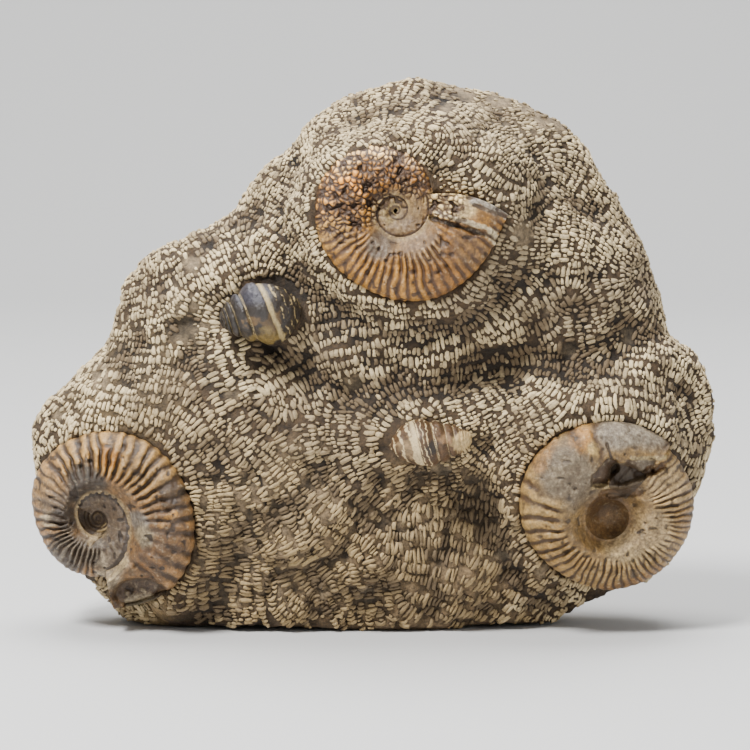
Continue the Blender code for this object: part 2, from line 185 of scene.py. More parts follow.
def eighths(values: tuple[float, ...], back: Array) -> Array:
    """Read a value that is listed for each eighth of a turn back from a shell's mouth.

    Args:
        values: nine numbers; past one turn they go on shrinking by the same share for each turn.
        back: angles back from the mouth, in radians.

    Returns:
        The smoothly joined value at each angle.
    """
    row = np.array(values, float)
    share = row[-1] / row[0]
    turns = np.floor(back / FULL_TURN)
    place = (back / FULL_TURN - turns) * (len(row) - 1)
    first = np.clip(place.astype(int), 0, len(row) - 2)
    t = place - first
    row = np.concatenate([[row[-2] / share], row, [row[1] * share]])
    a, b, c, d = (row[first + i] for i in range(4))
    bend = 0.5 * (2 * b + (c - a) * t + (2 * a - 5 * b + 4 * c - d) * t**2 + (3 * b - a - 3 * c + d) * t**3)
    return bend * share**turns


def smooth_closed(points: list[tuple[float, float]], steps: int = 8) -> Array:
    """Run a smooth closed curve through points.

    Args:
        points: the points in order.
        steps: points of the curve for each point given.

    Returns:
        The curve's points, one row each.
    """
    row = np.array(points, float)
    before, after, beyond = np.roll(row, 1, 0), np.roll(row, -1, 0), np.roll(row, -2, 0)
    curve = []
    for t in np.arange(steps) / steps:
        weights = (
            -t / 2 + t * t - t**3 / 2,
            1 - 2.5 * t * t + 1.5 * t**3,
            t / 2 + 2 * t * t - 1.5 * t**3,
            (t**3 - t * t) / 2,
        )
        curve.append(sum(w * p for w, p in zip(weights, (before, row, after, beyond))))
    return np.stack(curve, 1).reshape(-1, 2)


def vertex_array(obj: Piece, what: str = "co") -> Array:
    """Read a mesh's vertex positions or normals.

    Args:
        obj: the mesh object.
        what: "co" or "normal".

    Returns:
        One row for each vertex.
    """
    out = np.empty(len(obj.data.vertices) * 3, np.float32)
    obj.data.vertices.foreach_get(what, out)
    return out.reshape(-1, 3).astype(float)


def move_vertices(obj: Piece, points: Array) -> None:
    """Put a mesh's vertices at new places.

    Args:
        obj: the mesh object.
        points: one row for each vertex.
    """
    obj.data.vertices.foreach_set("co", points.astype(np.float32).ravel())
    obj.data.update()


def write_attribute(obj: Piece, name: str, values: Array) -> None:
    """Store a number or a linear colour on each vertex.

    Args:
        obj: the mesh object.
        name: what materials call it.
        values: one number, or one row of red, green and blue, for each vertex.
    """
    if values.ndim == 1:
        layer = obj.data.attributes.new(name, "FLOAT", "POINT")
        layer.data.foreach_set("value", values.astype(np.float32))
    else:
        layer = obj.data.color_attributes.new(name, "FLOAT_COLOR", "POINT")
        filled = np.concatenate([values, np.ones((len(values), 1))], 1)
        layer.data.foreach_set("color", filled.astype(np.float32).ravel())


def deselect_all() -> None:
    """Leave nothing selected before an operator runs."""
    if bpy.context.object and bpy.context.object.mode != "OBJECT":
        bpy.ops.object.mode_set(mode="OBJECT")
    bpy.ops.object.select_all(action="DESELECT")


def tidy_mesh(obj: Piece, gap: float, close: bool = True) -> None:
    """Merge vertices that meet, close what is open and turn the faces outwards.

    Args:
        obj: the mesh object.
        gap: how near two vertices are merged, in metres.
        close: whether open ends are filled.
    """
    deselect_all()
    obj.select_set(True)
    bpy.context.view_layer.objects.active = obj
    bpy.ops.object.mode_set(mode="EDIT")
    bpy.ops.mesh.select_all(action="SELECT")
    bpy.ops.mesh.remove_doubles(threshold=gap)
    if close:
        bpy.ops.mesh.fill_holes(sides=0)
    bpy.ops.mesh.normals_make_consistent(inside=False)
    bpy.ops.object.mode_set(mode="OBJECT")
    bpy.ops.object.shade_smooth()


def grid_sheet(name: str, rows: int, columns: int, points: Array, values: dict[str, Array]) -> Piece:
    """Lay a subdivided grid out on given points.

    Args:
        name: the piece's name.
        rows: points along the sheet.
        columns: points across it.
        points: rows * columns places, a row after a row.
        values: for each attribute, its values at those places.

    Returns:
        The mesh object, with its origin at the world's.
    """
    deselect_all()
    bpy.ops.mesh.primitive_grid_add(x_subdivisions=columns - 1, y_subdivisions=rows - 1, size=1)
    sheet = bpy.context.object
    sheet.name = sheet.data.name = name
    flat = vertex_array(sheet)
    rank = np.argsort(np.lexsort((flat[:, 0].round(6), flat[:, 1].round(6))))
    move_vertices(sheet, points[rank])
    for attribute, row in values.items():
        write_attribute(sheet, attribute, row[rank])
    return sheet


def join_pieces(pieces: list[Piece]) -> Piece:
    """Join pieces into the first of them.

    Args:
        pieces: the mesh objects.

    Returns:
        The first, which now holds them all.
    """
    deselect_all()
    for piece in pieces:
        piece.select_set(True)
    bpy.context.view_layer.objects.active = pieces[0]
    bpy.ops.object.join()
    return pieces[0]


@dataclass(frozen=True)
class Dab:
    """A patch or a stroke on the face, in mm, that colours, raises or sinks what lies under it."""

    x: float
    z: float
    radius: float
    colour: str = ""
    strength: float = 1.0
    to: tuple[float, float] | None = None  # the stroke's far end
    rise: float = 0.0
    soft: float = 0.35  # share of the radius over which its edge fades
    ragged: float = 0.35  # how far its edge wanders

    def cover(self, points: Array) -> Array:
        """How fully the patch covers places in metres, from 0 to 1."""
        x, z = points[:, 0] / MM, points[:, 2] / MM
        run = np.array(self.to or (self.x, self.z)) - (self.x, self.z)
        share = ((x - self.x) * run[0] + (z - self.z) * run[1]) / max(float(run @ run), 1e-9)
        share = np.clip(share, 0, 1)
        away = np.hypot(x - self.x - share * run[0], z - self.z - share * run[1]) / self.radius
        bump = min(max(self.radius, 2.5), 9.0) * MM
        wander = lattice_noise(points, bump, 5) + 0.6 * lattice_noise(points, bump * 0.4, 6)
        return smooth_step(1 + self.soft, 1 - self.soft, away + self.ragged * wander)


def painted(points: Array, ground: str, dabs: tuple[Dab, ...]) -> Array:
    """Lay dabs of colour over a ground.

    Args:
        points: places in metres.
        ground: the colour under all dabs.
        dabs: patches in the order in which they are laid; later ones cover earlier ones.

    Returns:
        Linear red, green and blue for each place.
    """
    colours = np.tile(np.array(linear_colour(ground)[:3]), (len(points), 1))
    for dab in dabs:
        if dab.colour:
            lay_over(colours, dab.colour, dab.cover(points) * dab.strength)
    return colours


def raised(points: Array, dabs: tuple[Dab, ...]) -> Array:
    """Height in mm that dabs add at places in metres."""
    total = np.zeros(len(points))
    for dab in dabs:
        if dab.rise:
            total += dab.rise * dab.cover(points)
    return total


@dataclass(frozen=True)
class ShellForm:
    """The shape of one ammonite that lies in the face. Angles are in degrees."""

    name: str
    centre: tuple[float, float]  # x and z of the navel
    height: float  # of its middle plane at the navel, and that plane's rise for each mm of x and z
    slope: tuple[float, float]
    mouth: float  # direction of the mouth
    growth: int  # 1 where the shell grows anticlockwise, -1 where it grows clockwise
    rim: tuple[float, ...]  # reach of the outer edge in mm, for each eighth of a turn back from the mouth
    seam: tuple[float, ...]  # the same for the inner edge of the whorl
    crest: float  # height of the whorl at the mouth
    ribs: float  # in one turn
    rib_height: float
    mouth_lean: float
    collar: tuple[float, float]  # height of the rock round it, over the middle plane: level, rise upwards
    turns: float
    root: float = 11.0  # depth of the tube's hidden back

    def plane(self, x: Array, z: Array) -> Array:
        """Height of the shell's middle plane, in mm, at places in mm on the face."""
        return self.height + self.slope[0] * (x - self.centre[0]) + self.slope[1] * (z - self.centre[1])

    def back_from_mouth(self, x: Array, z: Array) -> Array:
        """Angle in radians from the mouth back to places in mm on the face, under one turn."""
        turned = np.arctan2(z - self.centre[1], x - self.centre[0])
        return (math.radians(self.mouth) - turned) * self.growth % FULL_TURN

    def edge_share(self, x: Array, z: Array, bridged: bool = False) -> Array:
        """Distance of places from the navel, against that of the shell's edge in the same direction.

        Args:
            x: places in mm.
            z: places in mm.
            bridged: whether the step at the mouth is smoothed away.

        Returns:
            Below one inside the shell's edge, and above one outside it.
        """
        away = np.hypot(x - self.centre[0], z - self.centre[1])
        if bridged:
            back = self.back_from_mouth(x, z)
            rim = eighths(self.rim, back)
            return away / (rim + (self.rim[0] - rim) * smooth_step(0.75, 1.0, back / FULL_TURN))
        lean = math.radians(self.mouth_lean)
        back = np.linspace(0, FULL_TURN * 0.999, EDGE_STEPS)
        angle = -self.growth * back + lean * np.exp(-np.degrees(back) / LEAN_FADE)
        reach = eighths(self.rim, back)
        if lean:
            lip = np.linspace(0, 0.97, LIP_STEPS)
            angle = np.concatenate([angle, lean * lip])
            lip_reach = self.seam[0] + (self.rim[0] - self.seam[0]) * lip
            reach = np.concatenate([reach, np.maximum(lip_reach, reach[-1])])
        turned = np.arctan2(z - self.centre[1], x - self.centre[0]) - math.radians(self.mouth)
        return away / np.interp(turned, angle, reach, period=FULL_TURN)


TOP_FORM = ShellForm(
    name="ammonite_top", centre=(11, 202), height=54, slope=(0.05, -0.16), mouth=27, growth=1,
    rim=(52, 46.5, 43.5, 38.5, 38, 37.5, 32.5, 26, 19),
    seam=(16.3, 14.4, 12.7, 11.2, 9.9, 8.7, 7.7, 6.8, 6),
    crest=11, ribs=50, rib_height=0.75, mouth_lean=-29, collar=(0.5, 1.5), turns=3.3,
)
LEFT_FORM = ShellForm(
    name="ammonite_left", centre=(-130.5, 54.5), height=31, slope=(0.36, 0.08), mouth=-80, growth=-1,
    rim=(44, 48, 46.5, 45.5, 40.5, 36, 30.5, 29.5, 28.5),
    seam=(24, 17.3, 14.7, 13.7, 12.5, 10.6, 8.7, 8.2, 8),
    crest=14, ribs=46, rib_height=1.15, mouth_lean=0, collar=(-1, 1.5), turns=1.62,
)
RIGHT_FORM = ShellForm(
    name="ammonite_right", centre=(111.5, 57), height=39, slope=(-0.24, 0.2), mouth=50, growth=-1,
    rim=(45, 47, 47, 41, 35.5, 36.5, 38.5, 41.3, 42.3),
    seam=(12.5, 12, 11.8, 11.5, 11, 10.6, 9.8, 9.3, 9),
    crest=17, ribs=52, rib_height=0.8, mouth_lean=0, collar=(-1, 4), turns=1.12,
)
SHELL_FORMS = (TOP_FORM, LEFT_FORM, RIGHT_FORM)


@dataclass
class Nodule:
    """The limestone nodule: one closed mesh, densest over its face."""

    outline: list[tuple[float, float]]
    lumps: list[tuple[float, ...]]
    back_lumps: list[tuple[float, ...]]
    dabs: tuple[Dab, ...]
    hub: tuple[float, float] = (3.0, 108.0)  # every point of the outline can be seen from here
    front: float = 47.0  # heights of the face and of the back at their middles
    back: float = 50.0
    front_flatness: float = 2.4  # more makes a flatter face with a tighter edge
    back_flatness: float = 2.1
    edge_crowding: float = 0.4  # 0 spaces the columns and rows evenly, 1 crowds them to the edge
    columns: int = 400
    front_share: float = 0.72  # of the columns
    rows: int = 236
    # Long gentle waves of the face: length, direction in degrees, shift in lengths, height.
    waves: Table = (
        (61, 20, 0.1, 0.9), (43, 75, 0.4, 0.8), (37, -40, 0.7, 0.8), (29, 125, 0.2, 0.6), (24, 160, 0.6, 0.5),
    )
    # Hollows between the feet: x, y, half length, half width, height.
    feet: Table = ((-52, -30, 36, 34, 3.6), (58, -26, 22, 30, 3.2), (-8, 26, 60, 16, 3.0))
    foot_flat: float = 0.8  # a hollow shallower than this stays part of a foot
    underside_rounding: float = 7.0
    relief: Table = ((2.1, 17, 1), (1.3, 8, 2), (0.7, 3.6, 3))  # layers of bumps
    bed: float = 12.0  # how far the rock lies below a fossil
    ground: str = "#40311F"
    crust: str = "#9A8562"
    crust_layers: Table = ((0.22, 30, 51), (0.16, 9, 52))
    offset: Array = field(init=False)  # what moves the formula's places to the frame's, in mm
    hollow: Array = field(init=False)

    def reach(self, angle: Array) -> Array:
        """Distance in mm from the hub to the outline, at angles in radians."""
        curve = smooth_closed(self.outline) - np.array(self.hub)
        angles = np.arctan2(curve[:, 1], curve[:, 0])
        order = np.argsort(angles)
        return np.interp(angle, angles[order], np.hypot(*curve.T)[order], period=FULL_TURN)

    def lump_height(self, x: Array, z: Array, lumps: list[tuple[float, ...]]) -> Array:
        """Summed height in mm of oval lumps at places in mm."""
        total = np.zeros_like(x)
        for lump_x, lump_z, half_length, half_width, lean, rise in lumps:
            c, s = math.cos(math.radians(lean)), math.sin(math.radians(lean))
            along = ((x - lump_x) * c + (z - lump_z) * s) / half_length
            across = ((z - lump_z) * c - (x - lump_x) * s) / half_width
            total += rise * np.exp(-(along**2 + across**2))
        return total

    def wave_height(self, x: Array, z: Array) -> Array:
        """Height in mm of the long gentle waves at places in mm."""
        total = np.zeros_like(x)
        for length, direction, shift, rise in self.waves:
            c, s = math.cos(math.radians(direction)), math.sin(math.radians(direction))
            total += rise * np.sin(FULL_TURN * ((x * c + z * s) / length + shift))
        return total

    def large_form(self, directions: Array) -> Array:
        """Lay directions on a unit sphere out on the nodule's large form.

        Args:
            directions: unit vectors; -Y is the middle of the face.

        Returns:
            Places in mm, before the fine relief.
        """
        facing = -directions[:, 1]
        polar = np.arccos(np.clip(np.abs(facing), 0, 1))
        spread = self.edge_crowding * np.sin(polar) + (1 - self.edge_crowding) * polar / (math.pi / 2)
        angle = np.arctan2(directions[:, 2], directions[:, 0])
        reach = self.reach(angle) * spread
        x, z = self.hub[0] + reach * np.cos(angle), self.hub[1] + reach * np.sin(angle)
        room = smooth_step(1.0, 0.8, spread)
        face = self.front * np.sqrt(np.maximum(1 - spread**self.front_flatness, 0))
        face += (self.lump_height(x, z, self.lumps) + self.wave_height(x, z)) * room
        for form in SHELL_FORMS:
            near = smooth_step(1.5, 1.0, form.edge_share(x, z, True)) * room
            rise = (z - form.centre[1]) / eighths(form.rim, form.back_from_mouth(x, z))
            face += (form.plane(x, z) + form.collar[0] + form.collar[1] * rise - face) * near
        rear = -self.back * np.sqrt(np.maximum(1 - spread**self.back_flatness, 0))
        rear -= (self.lump_height(x, z, self.back_lumps) + self.wave_height(z, x)) * room
        height = np.where(facing > 0, face, rear)
        floor = np.zeros_like(x)
        for foot_x, foot_y, half_length, half_width, rise in self.feet:
            along, across = (x - foot_x) / half_length, (-height - foot_y) / half_width
            floor += rise * np.exp(-(along**2 + across**2))
        floor = np.maximum(floor - self.foot_flat, 0)
        overlap = np.maximum(self.underside_rounding - np.abs(z - floor), 0)
        z = np.maximum(z, floor) + overlap**2 / (4 * self.underside_rounding)
        return np.stack([x, -height, z], 1)

    def fine_relief(self, points: Array, normals: Array) -> Array:
        """Height in mm of bumps, pits and the beds of the fossils along the surface's normal.

        Args:
            points: places in mm.
            normals: the surface's normals there.

        Returns:
            One height for each place.
        """
        metres = points * MM
        x, z = points[:, 0], points[:, 2]
        seen = smooth_step(0.3, -0.2, normals[:, 1])
        relief = bumps(metres, self.relief)
        rough = smooth_step(110, 60, z) * seen
        relief += rough * 1.4 * lattice_noise(metres * (1.5, 1, 1), 6 * MM, 4)
        relief += rough * 1.3 * np.abs(lattice_noise(metres, 13 * MM, 9))
        inside = np.zeros_like(x)
        moat = np.zeros_like(x)
        for form in SHELL_FORMS:
            share = form.edge_share(x, z)
            radius = np.hypot(x - form.centre[0], z - form.centre[1]) / np.maximum(share, 0.01)
            beyond = (share - 1) * radius
            inside = np.maximum(inside, smooth_step(-0.5, -4.0, beyond) * seen)
            moat = np.maximum(moat, np.exp(-((beyond / 1.6) ** 2)) * seen)
        relief *= 1 - 0.8 * np.maximum(inside, moat)
        relief -= 0.5 * moat
        grounded = smooth_step(0.5, 4.0, z)
        return (relief + raised(metres, self.dabs) * seen) * grounded - self.bed * inside

    def build(self) -> Piece:
        """Shape the nodule from a sphere.

        Returns:
            The mesh object, with attributes for its materials.
        """
        deselect_all()
        bpy.ops.mesh.primitive_uv_sphere_add(segments=self.columns, ring_count=self.rows, radius=1.0)
        rock = bpy.context.object
        rock.name = rock.data.name = "limestone_nodule"
        unit = vertex_array(rock)
        turn = np.arctan2(unit[:, 0], -unit[:, 1]) / math.pi
        edge = self.front_share
        front = turn / edge * 0.5
        rear = np.sign(turn) * (0.5 + (np.abs(turn) - edge) / (1 - edge) * 0.5)
        turn = np.where(np.abs(turn) <= edge, front, rear) * math.pi
        level = np.sqrt(np.maximum(1 - unit[:, 2] ** 2, 0))
        directions = np.stack([np.sin(turn) * level, -np.cos(turn) * level, unit[:, 2]], 1)
        points = self.large_form(directions)
        low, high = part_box("matrix")
        centre = (np.array(low) + np.array(high)) / 2 / MM
        self.offset = centre - (points.min(0) + points.max(0)) / 2
        self.offset[2] = -points[:, 2].min()
        move_vertices(rock, points * MM)
        normals = vertex_array(rock, "normal")
        if np.sum(normals * (points - points.mean(0))) < 0:
            normals = -normals
        relief = self.fine_relief(points, normals)
        points = points + normals * relief[:, None]
        points[:, 2] = np.maximum(points[:, 2], 0)
        paint = painted(points * MM, self.ground, self.dabs)
        crust = bumps(points * MM, self.crust_layers, 0.6) * smooth_step(-0.25, 0.3, normals[:, 1])
        lay_over(paint, self.crust, np.clip(crust, 0, 1))
        write_attribute(rock, "paint", paint)
        self.hollow = self.hollowness(rock, points)
        write_attribute(rock, "hollow", self.hollow)
        move_vertices(rock, (points + self.offset) * MM)
        bpy.ops.object.shade_smooth()
        return rock

    def hollowness(self, rock: Piece, points: Array) -> Array:
        """How far each vertex lies below its surroundings; the finishes turn this into painted shade in
        hollows and painted light on swellings.

        Args:
            rock: the mesh, for its edges.
            points: its vertices, in mm.

        Returns:
            Depths in mm; below zero on a swelling.
        """
        ends = np.empty(len(rock.data.edges) * 2, np.int32)
        rock.data.edges.foreach_get("vertices", ends)
        first, second = ends[::2], ends[1::2]
        count = len(points)
        degree = np.bincount(ends, minlength=count)
        smoothed = points.copy()
        for _ in range(60):
            total = np.empty_like(smoothed)
            for axis in range(3):
                total[:, axis] = np.bincount(first, smoothed[second, axis], count)
                total[:, axis] += np.bincount(second, smoothed[first, axis], count)
            smoothed = 0.3 * smoothed + 0.7 * total / degree[:, None]
        normals = vertex_array(rock, "normal")
        return np.sum((smoothed - points) * normals, 1)


@dataclass
class Mark:
    """One stroke of the chisel: its place, the rock's normal there and its long axis; sizes in mm."""

    place: Vector
    normal: Vector
    axis: Vector
    length: float
    width: float
    row: int

    def room(self, other: "Mark", between: tuple[float, float]) -> float:
        """How free this mark is of another: below one they crowd each other.

        Args:
            other: the other mark.
            between: the gaps to keep in mm, end to end and side by side.

        Returns:
            The distance against the room that both need.
        """
        away = self.place - other.place
        along = away.dot(other.axis)
        long = abs(along) / ((self.length + other.length) / 2 + between[0])
        wide = (away - other.axis * along).length / ((self.width + other.width) / 2 + between[1])
        return (long**3 + wide**3) ** (1 / 3)


@dataclass
class ChiselMarks:
    """Pale marks of an air chisel, laid side by side in rows over the rock."""

    strokes: list[tuple[float, ...]]
    bare: list[tuple[float, float, float]]
    snails: list[tuple[float, float, float]]
    dabs: tuple[Dab, ...]
    reach: float = 10.0  # how far a direction that was read counts
    between: tuple[float, float] = (0.1, 0.4)  # gaps end to end and side by side
    proud: float = 0.65
    sunk: float = 0.3
    lengths: tuple[float, ...] = (0.6, 0.9, 1.1, 1.5)
    ground: str = "#E6CFA0"
    wild_from: tuple[float, float] = (95.0, 55.0)  # below the first height the marks grow wilder
    turned_away: float = 0.55  # no mark lies where the rock's normal passes these, or so near the floor
    facing_down: float = -0.75
    off_floor: float = 1.5
    row_lengths: tuple[int, int] = (4, 16)  # marks in a row
    first_room: float = 0.93  # the room that a row's first mark needs; at one it just fits
    next_room: tuple[float, float] = (0.62, 0.95)
    own_row: float = 1.25  # what room to marks of the same row is multiplied by
    filler_room: float = 0.78  # the same for the shorter marks that fill gaps, and how far they are tried
    filler_length: float = 0.75
    filler_reach: float = 3.4
    limit: int = 8200
    cell: float = 7.0  # of the grid in which near marks are looked up
    chart_left: float = 180.0  # the chart's reach to the left and right, below the floor and above it
    chart_low: float = 10.0
    chart_high: float = 280.0
    chart: Array = field(init=False)
    tree: BVHTree = field(init=False)
    offset: Vector = field(init=False)
    rng: np.random.Generator = field(init=False)
    laid: list[Mark] = field(default_factory=list)
    cells: dict[tuple[int, ...], list[Mark]] = field(default_factory=dict)

    def draw_chart(self) -> None:
        """Work out for each mm of the face how a mark lies, how long it is and how far the fossils are."""
        x, z = np.meshgrid(
            np.arange(-self.chart_left, self.chart_left + 1), np.arange(-self.chart_low, self.chart_high + 1)
        )
        cos2, sin2, long, total = (np.zeros_like(x) for _ in range(4))
        for stroke_x, stroke_z, angle, length in self.strokes:
            away = (x - stroke_x) ** 2 + (z - stroke_z) ** 2
            weight = np.exp(-away / (2 * self.reach**2)) + 1e-9 / (away + 1)
            cos2 += weight * math.cos(2 * math.radians(angle))
            sin2 += weight * math.sin(2 * math.radians(angle))
            long += weight * length
            total += weight
        norm = np.hypot(cos2, sin2) + 1e-12
        cos2, sin2 = cos2 / norm, sin2 / norm
        free = np.full_like(x, FAR)
        for form in SHELL_FORMS:
            radius = np.hypot(x - form.centre[0], z - form.centre[1])
            share = form.edge_share(x.ravel(), z.ravel()).reshape(x.shape)
            beyond = radius - radius / np.maximum(share, 0.01)
            free = np.minimum(free, beyond - 0.5)
            pull = 2.0 * np.exp(-((np.maximum(beyond, 0) / 6.0) ** 2))
            double = 2 * np.arctan2(z - form.centre[1], x - form.centre[0])
            cos2, sin2 = cos2 + pull * np.cos(double), sin2 + pull * np.sin(double)
        for snail_x, snail_z, radius in self.snails:
            free = np.minimum(free, np.hypot(x - snail_x, z - snail_z) - radius)
        self.chart = np.stack([0.5 * np.arctan2(sin2, cos2), long / total, free], 2)

    def make(self, place: Vector, row: int) -> Mark | None:
        """Set a mark on the rock.

        Args:
            place: near where, in mm.
            row: the number of its row.

        Returns:
            The mark, or None where none may lie.
        """
        hit = self.tree.find_nearest(place * MM + self.offset)
        place, normal = (hit[0] - self.offset) / MM, hit[1]
        if normal.y > self.turned_away or place.z < self.off_floor or normal.z < self.facing_down:
            return None
        row_of_chart, column = int(place.z + (self.chart_low + 0.5)), int(place.x + (self.chart_left + 0.5))
        angle, length, free = self.chart[row_of_chart, column]
        if free < 0 and normal.y < 0.2:
            return None
        turn = Vector((0.0, -1.0, 0.0)).rotation_difference(normal)
        angle += self.rng.normal(0, 0.13)
        axis = turn @ Vector((math.cos(angle), 0.0, math.sin(angle)))
        wild = 1 + 0.35 * float(smooth_step(*self.wild_from, place.z))
        length *= self.rng.choice(self.lengths) * self.rng.uniform(0.85, 1.15) * wild
        width = min(max(0.5 * length, 1.5), 2.1) * self.rng.uniform(0.75, 1.25) / wild**0.5
        return Mark(place, normal, axis, length, width, row)

    def crowding(self, mark: Mark, own_row: float) -> float:
        """How near the closest mark is: one just fits, and less crowds it.

        Args:
            mark: the mark to be laid.
            own_row: what the room to marks of the same row is multiplied by.

        Returns:
            The least room to any mark around it.
        """
        base = [int(c // self.cell) for c in mark.place]
        least = FAR
        for step in product((-1, 0, 1), repeat=3):
            for other in self.cells.get(tuple(b + s for b, s in zip(base, step)), ()):
                room = mark.room(other, self.between)
                least = min(least, room * own_row if other.row == mark.row else room)
        return least

    def keep(self, mark: Mark) -> None:
        """Lay a mark down for good."""
        self.laid.append(mark)
        self.cells.setdefault(tuple(int(c // self.cell) for c in mark.place), []).append(mark)

    def trace(self, tree: BVHTree, offset: Vector) -> list[Mark]:
        """Run rows of marks over the rock, then fill the gaps that are left.

        Args:
            tree: the rock's surface, in metres.
            offset: what the face's mm are moved by, in metres.

        Returns:
            The marks, with places in mm on the face.
        """
        self.draw_chart()
        self.tree, self.offset, self.rng = tree, offset, np.random.default_rng(SEED)
        starts = [Vector((stroke[0], -50.0, stroke[1])) for stroke in self.strokes]
        for angle in np.linspace(0, FULL_TURN, 60):
            for depth in (-30.0, -5.0, 15.0):
                starts.append(Vector((170 * math.cos(angle), depth, 115 + 160 * math.sin(angle))))
        queue = iter(starts)
        row = 0
        for start in queue:
            row += 1
            first = self.make(start, row)
            if first is None or self.crowding(first, 1.0) < self.first_room:
                continue
            for way in (1, -1):
                mark, heading = first, first.normal.cross(first.axis) * way
                for step in range(int(self.rng.integers(*self.row_lengths))):
                    if step or way == 1:
                        tight = self.rng.uniform(*self.next_room)
                        if self.crowding(mark, self.own_row) < tight or len(self.laid) > self.limit:
                            break
                        self.keep(mark)
                        apart = mark.length + self.between[0]
                        starts += [mark.place + mark.axis * apart, mark.place - mark.axis * apart]
                    along = mark.normal.cross(mark.axis)
                    along = along if along.dot(heading) > 0 else -along
                    heading = along
                    gap = self.between[1] * self.rng.uniform(0.2, 1.7)
                    mark = self.make(mark.place + along * (mark.width + gap), row)
                    if mark is None:
                        break
        for kept in list(self.laid):
            for _ in range(2):
                step = Vector(self.rng.normal(0, self.filler_reach, 3))
                extra = self.make(kept.place + step, -1)
                if extra and len(self.laid) < self.limit:
                    extra.length *= self.filler_length
                    if self.crowding(extra, 1.0) > self.filler_room:
                        self.keep(extra)
        return self.laid

    def stroke_shape(self) -> tuple[Array, list[tuple[int, ...]]]:
        """Model one mark as a low pad with a sunk skirt.

        Returns:
            Its vertices, one unit in half length and half width, and its faces.
        """
        deselect_all()
        bpy.ops.mesh.primitive_circle_add(vertices=8, radius=0.9, fill_type="TRIFAN")
        pad = bpy.context.object
        bpy.ops.object.mode_set(mode="EDIT")
        bpy.ops.mesh.select_all(action="SELECT")
        bpy.ops.mesh.region_to_loop()
        bpy.ops.mesh.extrude_region_move(TRANSFORM_OT_translate={"value": (0, 0, -1)})
        bpy.ops.transform.resize(value=(1.28, 1.28, 1.0))
        bpy.ops.mesh.select_all(action="SELECT")
        bpy.ops.mesh.normals_make_consistent(inside=False)
        bpy.ops.object.mode_set(mode="OBJECT")
        shape = vertex_array(pad)
        faces = [tuple(face.vertices) for face in pad.data.polygons]
        bpy.data.objects.remove(pad)
        return shape, faces

    def build(self, rock: Piece, offset: Vector, hollow: Array) -> Piece:
        """Lay all marks on the rock.

        Args:
            rock: the nodule's mesh.
            offset: what the face's mm are moved by, in metres.
            hollow: how deep each vertex of the rock lies among its neighbours, in mm.

        Returns:
            One mesh object that holds every mark.
        """
        tree = BVHTree.FromObject(rock, bpy.context.evaluated_depsgraph_get())
        marks = self.trace(tree, offset)
        shape, shape_faces = self.stroke_shape()
        rng = np.random.default_rng(SEED + 1)
        points, faces, tone, top, deep = [], [], [], [], []
        corners = rock.data.polygons
        for mark in marks:
            place, normal = mark.place, mark.normal
            bald = min((math.hypot(place.x - x, place.z - z) / r for x, z, r in self.bare), default=FAR)
            behind = max(normal.y + 0.2, 0.0)
            # Some marks are missing everywhere, most in a bare place, and ever more towards the back.
            if rng.random() < 0.03 + 0.8 * (bald < 0.8) * (normal.y < 0) + 1.1 * behind:
                continue
            side = normal.cross(mark.axis)
            wild = float(smooth_step(*self.wild_from, place.z))
            swirl = float(lattice_noise(np.array([place]) * MM, 13 * MM, 41)[0])
            bend, taper = rng.normal(0, 0.3) + swirl * (0.4 + 1.2 * wild), rng.normal(0, 0.18)
            tilt, roll = rng.normal(0, 0.14 + 0.1 * wild, 2)
            shade = rng.random()
            start = len(points)
            hit = tree.find_nearest(place * MM + offset)
            depth = hollow[corners[hit[2]].vertices[0]]
            for px, py, pz in shape:
                wobble = 1 + rng.normal(0, 0.13)
                square = 1.0
                if px or py:
                    square += 0.3 * (math.hypot(px, py) / max(abs(px), abs(py), 1e-6) - 1)
                a = px * mark.length / 2 * wobble * square
                b = (py * wobble * square * (1 + taper * px) + bend * (px * px - 0.4)) * mark.width / 2
                hit = tree.find_nearest((place + mark.axis * a + side * b) * MM + offset)
                low = pz < -0.5
                middle = abs(px) + abs(py) < 0.01
                rise = self.proud * (1.0 + 0.3 * middle) * (0.7 + 0.6 * shade) * (1 + 0.5 * wild)
                rise = -self.sunk if low else max(rise + tilt * px + roll * py, 0.12)
                spot = hit[0] + hit[1] * rise * MM
                points.append(Vector((spot.x, spot.y, max(spot.z, 0.0))))
                tone.append(shade)
                top.append(0.0 if low else 0.6 + 0.4 * middle)
                deep.append(depth)
            faces.extend(tuple(start + i for i in face) for face in shape_faces)
        mesh = bpy.data.meshes.new("chisel_marks")
        mesh.from_pydata(points, [], faces)
        piece = bpy.data.objects.new("chisel_marks", mesh)
        bpy.context.scene.collection.objects.link(piece)
        for name, values in (("tone", tone), ("top", top), ("hollow", deep)):
            write_attribute(piece, name, np.array(values))
        write_attribute(piece, "paint", painted(np.array(points) - np.array(offset), self.ground, self.dabs))
        mesh.shade_smooth()
        LOG.info("laid %d chisel marks", len(points) // len(shape))
        return piece


